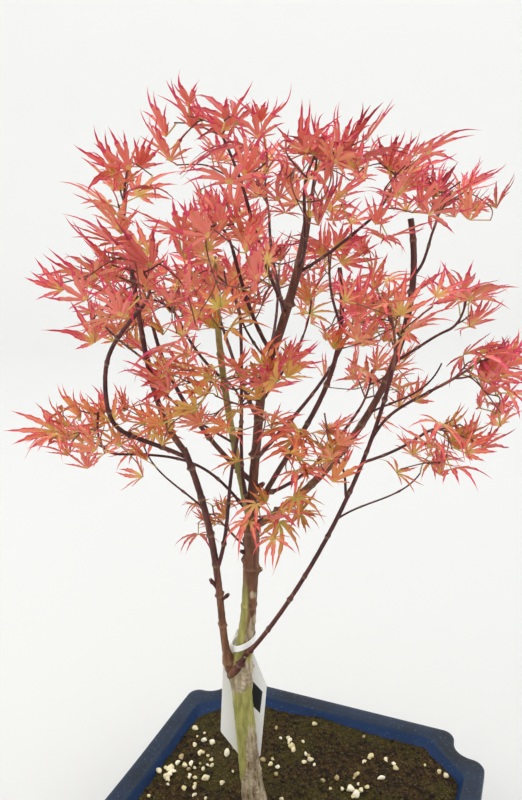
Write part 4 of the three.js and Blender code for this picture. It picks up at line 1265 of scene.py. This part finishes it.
def crown():
    sprays = [Spray(index) for index in range(len(MASSES))]
    for spray in sprays:
        spray.grow()
        spray.grow_finer()
    for twig in SIDE_TWIGS:
        path = paths[twig[0]]
        nearest = np.argmin(((MIDDLES - path.points[-1]) ** 2).sum(axis=1) - REACHES**2)
        sprays[nearest].clothe(path)
    chance = np.random.default_rng(SEED)
    for spray in sprays:
        leaf_piece(spray, chance)
    chance = np.random.default_rng(SEED + 1)
    fine_twigs([twig for spray in sprays for twig in spray.twigs], chance)
    leaf_stalks([leaf for spray in sprays for leaf in spray.leaves], chance)


# Tray

def notched_outline(half_width, half_length):
    """The rim's outline from above: each corner is a hollow quarter between two round ones."""
    points = []
    far = NOTCH_ROUND * 2 + NOTCH_HOLLOW
    near = (far, NOTCH_ROUND)

    def arc(centre, radius, start, stop, turn, corner):
        for k in range(ARC_STEPS + 1):
            angle = math.radians(mixed(start, stop, k / ARC_STEPS) + turn)
            across_x, across_y = corner
            x = across_x * (half_width - centre[0]) + radius * math.cos(angle)
            y = across_y * (half_length - centre[1]) + radius * math.sin(angle)
            points.append((x, y))

    for k, corner in enumerate([(1, 1), (-1, 1), (-1, -1), (1, -1)]):
        first, last = (near, near[::-1]) if k % 2 else (near[::-1], near)
        arc(first, NOTCH_ROUND, 0, 90, k * 90, corner)
        arc((NOTCH_ROUND, NOTCH_ROUND), NOTCH_HOLLOW, 270, 180, k * 90, corner)
        arc(last, NOTCH_ROUND, 0, 90, k * 90, corner)
    return spaced(points)


def spaced(points):
    """An outline with its doubled points dropped and its long sides divided."""
    out = []
    for start, end in zip(points, points[1:] + points[:1]):
        start, end = np.array(start), np.array(end)
        gap = np.linalg.norm(end - start)
        if gap < 0.05:
            continue
        pieces = max(1, round(gap / SIDE_STEP))
        out += [mixed(start, end, k / pieces) for k in range(pieces)]
    return np.array(out)


def chamfered_reach(angles, half_width, half_length, chamfer, rounding):
    """How far a rectangle with cut, softened corners reaches along each angle."""
    x, y = np.abs(np.cos(angles)), np.abs(np.sin(angles))
    sides = [half_width / np.maximum(x, 1e-6), half_length / np.maximum(y, 1e-6),
             (half_width + half_length - chamfer) / (x + y)]
    sharp = -rounding * 0.5
    weights = np.exp((np.array(sides) - np.min(sides, axis=0)) / sharp)
    return (np.array(sides) * weights).sum(axis=0) / weights.sum(axis=0)


def wall_rings(outline, half_sizes, profile):
    """A ring of points for each line of a profile, drawn in from an outline."""
    return [np.column_stack([outline * (1 - inset / half_sizes), np.full(len(outline), height)])
            for height, inset, _ in profile]


def rim_rings(outer, inner):
    """Rings across the rim's band, slightly crowned."""
    rings = []
    for share in np.arange(1, RIM_ROWS) / RIM_ROWS:
        crown = RIM_CROWN * math.sin(math.pi * share)
        rings.append(mixed(outer, inner, share) + [0, 0, crown])
    return rings


def tray():
    half_sizes = np.array([POT_WIDTH, POT_LENGTH]) / 2
    inner_sizes = half_sizes - RIM_BAND
    outline = notched_outline(*half_sizes)
    angles = np.arctan2(outline[:, 1], outline[:, 0])
    reach = chamfered_reach(angles, *inner_sizes, INNER_CHAMFER, CHAMFER_ROUND)
    inner = np.stack([np.cos(angles), np.sin(angles)], axis=1) * reach[:, None]
    outside = wall_rings(outline, half_sizes, POT_OUTSIDE)
    inside = wall_rings(inner, inner_sizes, POT_INSIDE)
    rim = rim_rings(outside[-1], inside[0])
    rings = outside + rim + inside
    around, points = len(outline), np.vstack(rings)
    warp = np.sin(points[:, [1]] * 0.041 + [0.4, 1.9])
    points[:, :2] += POT_WARP * warp * smooth_step(4, 30, points[:, [2]])
    worn = [line[2] for line in POT_OUTSIDE] + [RIM_WEAR] * len(rim) + [line[2] for line in POT_INSIDE]
    # Rings of the inner wall below the lip, which the glaze paints lighter blue as a painted highlight
    deep = [k >= len(outside) and ring[:, 2].max() < LIP_LEVEL for k, ring in enumerate(rings)]
    traits = {"worn": np.repeat(worn, around), "inside": np.repeat(deep, around)}
    ends = np.array([np.arange(around)[::-1], np.arange(around) + (len(rings) - 1) * around])
    piece = make_piece("glazed_tray", points, [ring_faces(len(rings), around), ends], [glaze_finish()],
                       traits=traits)
    for side in (-1, 1):
        drill_drain(piece, side * DRAIN_OFFSET)
    piece.data.set_sharp_from_angle(angle=math.radians(POT_CREASE))
    ride(piece, "glaze", "pot")


def drill_drain(piece, offset):
    """A round hole through the tray's floor."""
    drill = bpy.data.meshes.new("drill")
    shape = bmesh.new()
    bmesh.ops.create_cone(shape, cap_ends=True, segments=DRAIN_SIDES, radius1=DRAIN_RADIUS * MM,
                          radius2=DRAIN_RADIUS * MM, depth=DRILL_LENGTH * MM)
    bmesh.ops.translate(shape, vec=(0, offset * MM, 0), verts=shape.verts)
    shape.to_mesh(drill)
    shape.free()
    cutter = bpy.data.objects.new("drill", drill)
    bpy.context.scene.collection.objects.link(cutter)
    cut = piece.modifiers.new("drain", "BOOLEAN")
    cut.operation, cut.solver, cut.object = "DIFFERENCE", "EXACT", cutter
    view = bpy.context.evaluated_depsgraph_get()
    mesh = bpy.data.meshes.new_from_object(piece.evaluated_get(view))
    piece.modifiers.remove(cut)
    piece.data = mesh
    bpy.data.objects.remove(cutter)


# Soil

def soil_level(x, y):
    away = np.hypot(x - TREE_PLACE[0], y - TREE_PLACE[1])
    swells = SOIL_SWELL * np.sin(x * 0.11 + 1) * np.cos(y * 0.085)
    heaps = sum(height * bell(np.hypot(x - across, y - along), width)
                for across, along, width, height in HEAPS)
    return SOIL_LEVEL + SOIL_MOUND * bell(away, SOIL_SPREAD) + swells + heaps


def lumps(points, size, seed):
    """A noise of about -1 to 1 over flat places, with lumps of one size."""
    return np.array([noise.noise(Vector((x / size, y / size, seed))) for x, y in points])


def soil_half_sizes():
    inset = RIM_BAND + SOIL_INSET
    return POT_WIDTH / 2 - inset, POT_LENGTH / 2 - inset, INNER_CHAMFER * 0.97


def soil():
    half_width, half_length, chamfer = soil_half_sizes()
    rows, columns = int(2 * half_length / SOIL_STEP), int(2 * half_width / SOIL_STEP)
    y = np.linspace(-half_length, half_length, rows)
    reach = np.minimum(half_width, half_width - chamfer + half_length - np.abs(y))
    across = np.linspace(-1, 1, columns)
    x = across[None, :] * reach[:, None]
    flat = np.column_stack([x.ravel(), np.repeat(y, columns)])
    height = soil_level(flat[:, 0], flat[:, 1])
    edge = np.minimum(reach[:, None] - np.abs(x), half_length - np.abs(y)[:, None]).ravel()
    clods = 1.3 * np.abs(lumps(flat, 7, 3.1)) + np.abs(lumps(flat, 3.2, 9.4))
    height = height + clods + 0.6 * lumps(flat, 1.9, 5.7) + lumps(flat, 26, 1.3) - SOIL_DROP
    height -= EDGE_DROP * bell(edge, EDGE_WIDTH)
    points = np.column_stack([flat, height])
    faces, rim = grid_faces(rows, columns), grid_rim(rows, columns)
    base = points[rim] * [SOIL_TAPER, SOIL_TAPER, 0] + [0, 0, SOIL_BASE]
    count, around = len(points), len(rim)
    turn = np.arange(around)
    after = (turn + 1) % around
    walls = np.stack([rim, turn + count, after + count, rim[after]], axis=1)
    piece = make_piece("soil_surface", np.vstack([points, base]),
                       [faces, walls, (turn[::-1] + count)[None]], [soil_finish()])
    ride(piece, "soil", "soil")


def pebble_shapes(count, rounds, seed):
    """Lumpy little stones of radius 1, all with the same faces."""
    shape = bmesh.new()
    bmesh.ops.create_icosphere(shape, subdivisions=rounds, radius=1)
    points = np.array([vertex.co for vertex in shape.verts])
    faces = np.array([[vertex.index for vertex in face.verts] for face in shape.faces])
    shape.free()
    chance = np.random.default_rng(seed)
    shapes = []
    for _ in range(count):
        bumps = sum(np.sin(points @ chance.normal(0, 2.2, 3) + chance.uniform(0, 6)) for _ in range(4))
        stretch = chance.uniform(0.66, 1.15, 3) * [1, 1, 0.85]
        stone = points * (1 + 0.1 * bumps)[:, None]
        for _ in range(PEBBLE_FACETS):
            way = unit(chance.normal(0, 1, 3))
            beyond = np.maximum(stone @ way - chance.uniform(0.55, 0.8), 0)
            stone = stone - beyond[:, None] * way * 0.92
        shapes.append(stone * stretch)
    return shapes, faces


def large_stones():
    """Where the largest stones lie, as in the solids: [x, y, radius]."""
    dice, laid = Dice(STONE_SEED), []
    while len(laid) < STONE_COUNT:
        x, y = [dice.between(-half, half) for half in STONE_AREA]
        radius = dice.between(*STONE_RADIUS)
        dice.roll()
        near = [math.hypot(other[0] - x, other[1] - y) < STONE_SPACING for other in [TREE_PLACE, *laid]]
        if abs(x) + abs(y) < sum(STONE_AREA) - INNER_CHAMFER and not any(near):
            laid.append((x, y, radius))
    return laid


def strewn(count, sizes, seed, near):
    """Random places on the soil, thicker round some of them: [x, y, radius]."""
    half_width, half_length, chamfer = soil_half_sizes()
    chance = np.random.default_rng(seed)
    laid = []
    while len(laid) < count:
        x, y = [chance.uniform(EDGE_GAP - half, half - EDGE_GAP) for half in (half_width, half_length)]
        radius = sizes[0] * (sizes[1] / sizes[0]) ** (chance.random() ** SMALL_BIAS)
        if abs(x) + abs(y) > half_width + half_length - chamfer - EDGE_GAP * 2:
            continue
        thick = sum(bell(math.hypot(x - across, y - along), width) for across, along, width in near)
        trunk_gap = math.hypot(x - TREE_PLACE[0], y - TREE_PLACE[1]) - ROOT_REACH
        if chance.random() < thick + STRAY_SHARE and trunk_gap > radius:
            laid.append((x, y, radius))
    return laid


def scatter(name, places, rise, rounds, finishes, seed):
    """Stones or crumbs at places on the soil, each raised by a share of its radius."""
    chance = np.random.default_rng(seed)
    shapes, faces = pebble_shapes(PEBBLE_SHAPES, rounds, seed)
    points, slots = [], []
    for k, (x, y, radius) in enumerate(places):
        turn = spin(-chance.uniform(0, 6.28))
        height = float(soil_level(x, y)) + PEBBLE_RISE + radius * rise
        points.append(shapes[k % len(shapes)] @ turn * radius + [x, y, height])
        slots.append(np.full(len(faces), int(chance.random() ** TONE_BIAS * len(finishes))))
    offsets = (np.arange(len(places)) * len(points[0]))[:, None, None]
    piece = make_piece(name, np.vstack(points), [(faces[None] + offsets).reshape(-1, 3)], finishes,
                       np.concatenate(slots), smooth=False)
    ride(piece, "soil")


def grit():
    cream = [plain_finish(f"grit_{k}", code, 0.85) for k, code in enumerate(GRIT_TONES)]
    earth = [plain_finish(f"crumb_{k}", code, 0.95) for k, code in enumerate(CRUMB_TONES)]
    scatter("large_grit", large_stones(), 0, 2, cream, 10)
    scatter("grit", strewn(GRIT_COUNT, GRIT_RADIUS, 11, GRIT_PATCHES), 0.2, 2, cream, 11)
    scatter("soil_crumbs", strewn(CRUMB_COUNT, CRUMB_RADIUS, 12, [(0, 0, 150)]), 0, 1, earth, 12)


# Tag

# [height, side] down the tag's two edges
TAG_LEFT = np.array([[28, -5.4], [57, -25.2], [112, -22.7], [136, -13]])
TAG_RIGHT = np.array([[28, -4.6], [37.5, 2.4], [93, 6.8], [120, -3], [136, -4]])
TAG_ROWS, TAG_COLUMNS, TAG_SHEET, TAG_BACK = 54, 16, 0.6, 8.2
PATCH_CORNERS = [(-9, 85.4), (2.1, 71.5), (3.8, 88.5), (-9, 104.5)]
PATCH_ROWS, PATCH_COLUMNS, PATCH_RISE, PATCH_DEPTH = 13, 9, 0.06, 0.3
STRAP_MIDDLE, STRAP_RADIUS, STRAP_LEVELS = (-8.4, 0.6), 7.6, (130, 134.4)
STRAP_TILT, STRAP_SIDES, TAG_CREASE = 4, 48, 50


def tag_curve(x, z):
    """How far the limp sheet curls back from its hanging plane."""
    return 0.0014 * (x + 9) ** 2 * smooth_step(136, 60, z) + 0.16 * np.sin(z * 0.05)


def tag_card():
    """Points and faces of the hanging sheet."""
    z = np.linspace(TAG_LEFT[0, 0], TAG_LEFT[-1, 0], TAG_ROWS)
    left, right = np.interp(z, *TAG_LEFT.T), np.interp(z, *TAG_RIGHT.T)
    x = mixed(left[:, None], right[:, None], np.linspace(0, 1, TAG_COLUMNS)[None, :])
    z = np.repeat(z, TAG_COLUMNS).reshape(TAG_ROWS, TAG_COLUMNS)
    front = np.stack([x, TAG_BACK + tag_curve(x, z), z], axis=-1).reshape(-1, 3)
    return np.vstack([front, front + [0, TAG_SHEET, 0]]), sheet_faces(TAG_ROWS, TAG_COLUMNS)


def tag_strap():
    """Points and faces of the band round the trunk."""
    angle = np.linspace(0, 2 * math.pi, STRAP_SIDES, endpoint=False)
    low, high = STRAP_LEVELS
    rings = []
    levels = [low + 0.3, low, low + 0.2, high - 0.2, high, high - 0.3]
    for out, level in zip((0, 0.2, 0.6, 0.6, 0.2, 0), levels):
        reach = STRAP_RADIUS + out
        x, y = STRAP_MIDDLE[0] + reach * np.cos(angle), STRAP_MIDDLE[1] + reach * np.sin(angle)
        rings.append(np.column_stack([x, y, level + STRAP_TILT * np.cos(angle)]))
    faces = ring_faces(len(rings) + 1, STRAP_SIDES) % (len(rings) * STRAP_SIDES)
    return np.vstack(rings), faces


def card_finish():
    card = Finish("white_card", specular_ior_level=0.45)
    fibres, scuffs = card.noise(1.6, 3), card.noise(18, 3)
    card.set("Base Color", card.blend(scuffs.over(0.5, 0.8) * 0.5, "#fbfbf9", "#eeeeea"))
    card.set("Roughness", 0.34 + fibres * 0.2)
    card.bumps(fibres, 0.15, 0.1)
    return card.material


def tag_patch():
    """The dark patch on the tag's face."""
    low_left, low_right, high_right, high_left = [np.array(corner) for corner in PATCH_CORNERS]
    across, up = np.meshgrid(np.linspace(0, 1, PATCH_COLUMNS), np.linspace(0, 1, PATCH_ROWS))
    across, up = across[..., None], up[..., None]
    flat = mixed(mixed(low_left, low_right, across), mixed(high_left, high_right, across), up)
    x, z = np.moveaxis(flat, -1, 0)
    face = np.stack([x, TAG_BACK - PATCH_RISE + tag_curve(x, z), z], axis=-1).reshape(-1, 3)
    points = np.vstack([face, face + [0, PATCH_DEPTH, 0]])
    dark = plain_finish("dark_patch", "#1d1f22", 0.5)
    patch = make_piece("tag_patch", in_row(points), [sheet_faces(PATCH_ROWS, PATCH_COLUMNS)], [dark])
    ride(patch, "label")


def tag():
    points, faces = joined([tag_card(), tag_strap()])
    piece = make_piece("blank_tag", in_row(points), [faces], [card_finish()])
    piece.data.set_sharp_from_angle(angle=math.radians(TAG_CREASE))
    ride(piece, "label", "plant_tag")
    tag_patch()


# Scene

CAMERA_PLACE, CAMERA_TILT = (0.13609, -0.35422, 0.465), 76.6
SENSOR, FOCAL_SHARE = 36, 722 / 800
FLOOR_EDGE, WALL_BEND, WALL_TOP, WALL_SIDES = 2.6, 1.2, 2.6, 96
# name, place, size, power and tone of the lamps, which are all turned to one point
LAMPS = [
    ("key", (-1.1, -0.8, 1.7), (1.4, 1.4), 9, "#fffaf2"),
    ("fill", (1.5, -1.2, 1.2), (1.6, 1.6), 2.5, "#f4f8ff"),
    ("back", (0.4, 1.8, 1.8), (1.6, 1.2), 2, "#ffffff"),
]
LAMP_TARGET = (0, 0, 0.3)
SKY_TONE, SKY_STRENGTH = "#f6f7f8", 1.55


def camera():
    lens = bpy.data.cameras.new("view")
    lens.sensor_width, lens.lens = SENSOR, SENSOR * FOCAL_SHARE
    lens.clip_start, lens.clip_end = 0.01, 50
    holder = bpy.data.objects.new("view", lens)
    holder.location = CAMERA_PLACE
    holder.rotation_euler = (math.radians(CAMERA_TILT), 0, math.radians(TREE_TURN))
    bpy.context.scene.collection.objects.link(holder)
    bpy.context.scene.camera = holder


def lamp(name, place, size, power, tone):
    light = bpy.data.lights.new(name, "AREA")
    light.shape, light.size, light.size_y = "RECTANGLE", *size
    light.energy, light.color = power, colour(tone)[:3]
    holder = bpy.data.objects.new(name, light)
    holder.location = place
    holder.rotation_euler = (Vector(LAMP_TARGET) - Vector(place)).to_track_quat("-Z", "Y").to_euler()
    bpy.context.scene.collection.objects.link(holder)


def floor_and_wall():
    """A pale floor that sweeps up into a low wall all round."""
    profile = [(0.001, 0), (0.6, 0), (FLOOR_EDGE, 0)]
    for sweep in np.linspace(0.1, math.pi / 2, 16):
        profile.append((FLOOR_EDGE + WALL_BEND * math.sin(sweep), WALL_BEND * (1 - math.cos(sweep))))
    profile.append((FLOOR_EDGE + WALL_BEND, WALL_TOP))
    angle = np.linspace(0, 2 * math.pi, WALL_SIDES, endpoint=False)
    rings = [np.column_stack([out * np.cos(angle), out * np.sin(angle), np.full(WALL_SIDES, level)])
             for out, level in profile]
    paint = Finish("pale_floor", roughness=0.9)
    paint.set("Base Color", paint.blend(paint.trait("wall"), "#d4d4d2", "#eaeae8"))
    wall = np.interp([level for _, level in profile], [0, 0.3, WALL_BEND], [0.3, 0.55, 1])
    wall[:2] = 0
    floor = make_piece("floor", np.vstack(rings) / MM, [ring_faces(len(rings), WALL_SIDES)[:, ::-1]],
                       [paint.material], traits={"wall": np.repeat(wall, WALL_SIDES)})


def soft_light():
    world = bpy.data.worlds.new("sky")
    world.use_nodes = True
    sky = world.node_tree.nodes["Background"].inputs
    sky["Color"].default_value, sky["Strength"].default_value = colour(SKY_TONE), SKY_STRENGTH
    bpy.context.scene.world = world
    for settings in LAMPS:
        lamp(*settings)
    bpy.context.scene.view_settings.view_transform = "Standard"


camera()
floor_and_wall()
soft_light()
tray()
soil()
grit()
tag()
tree_bark()
crown()
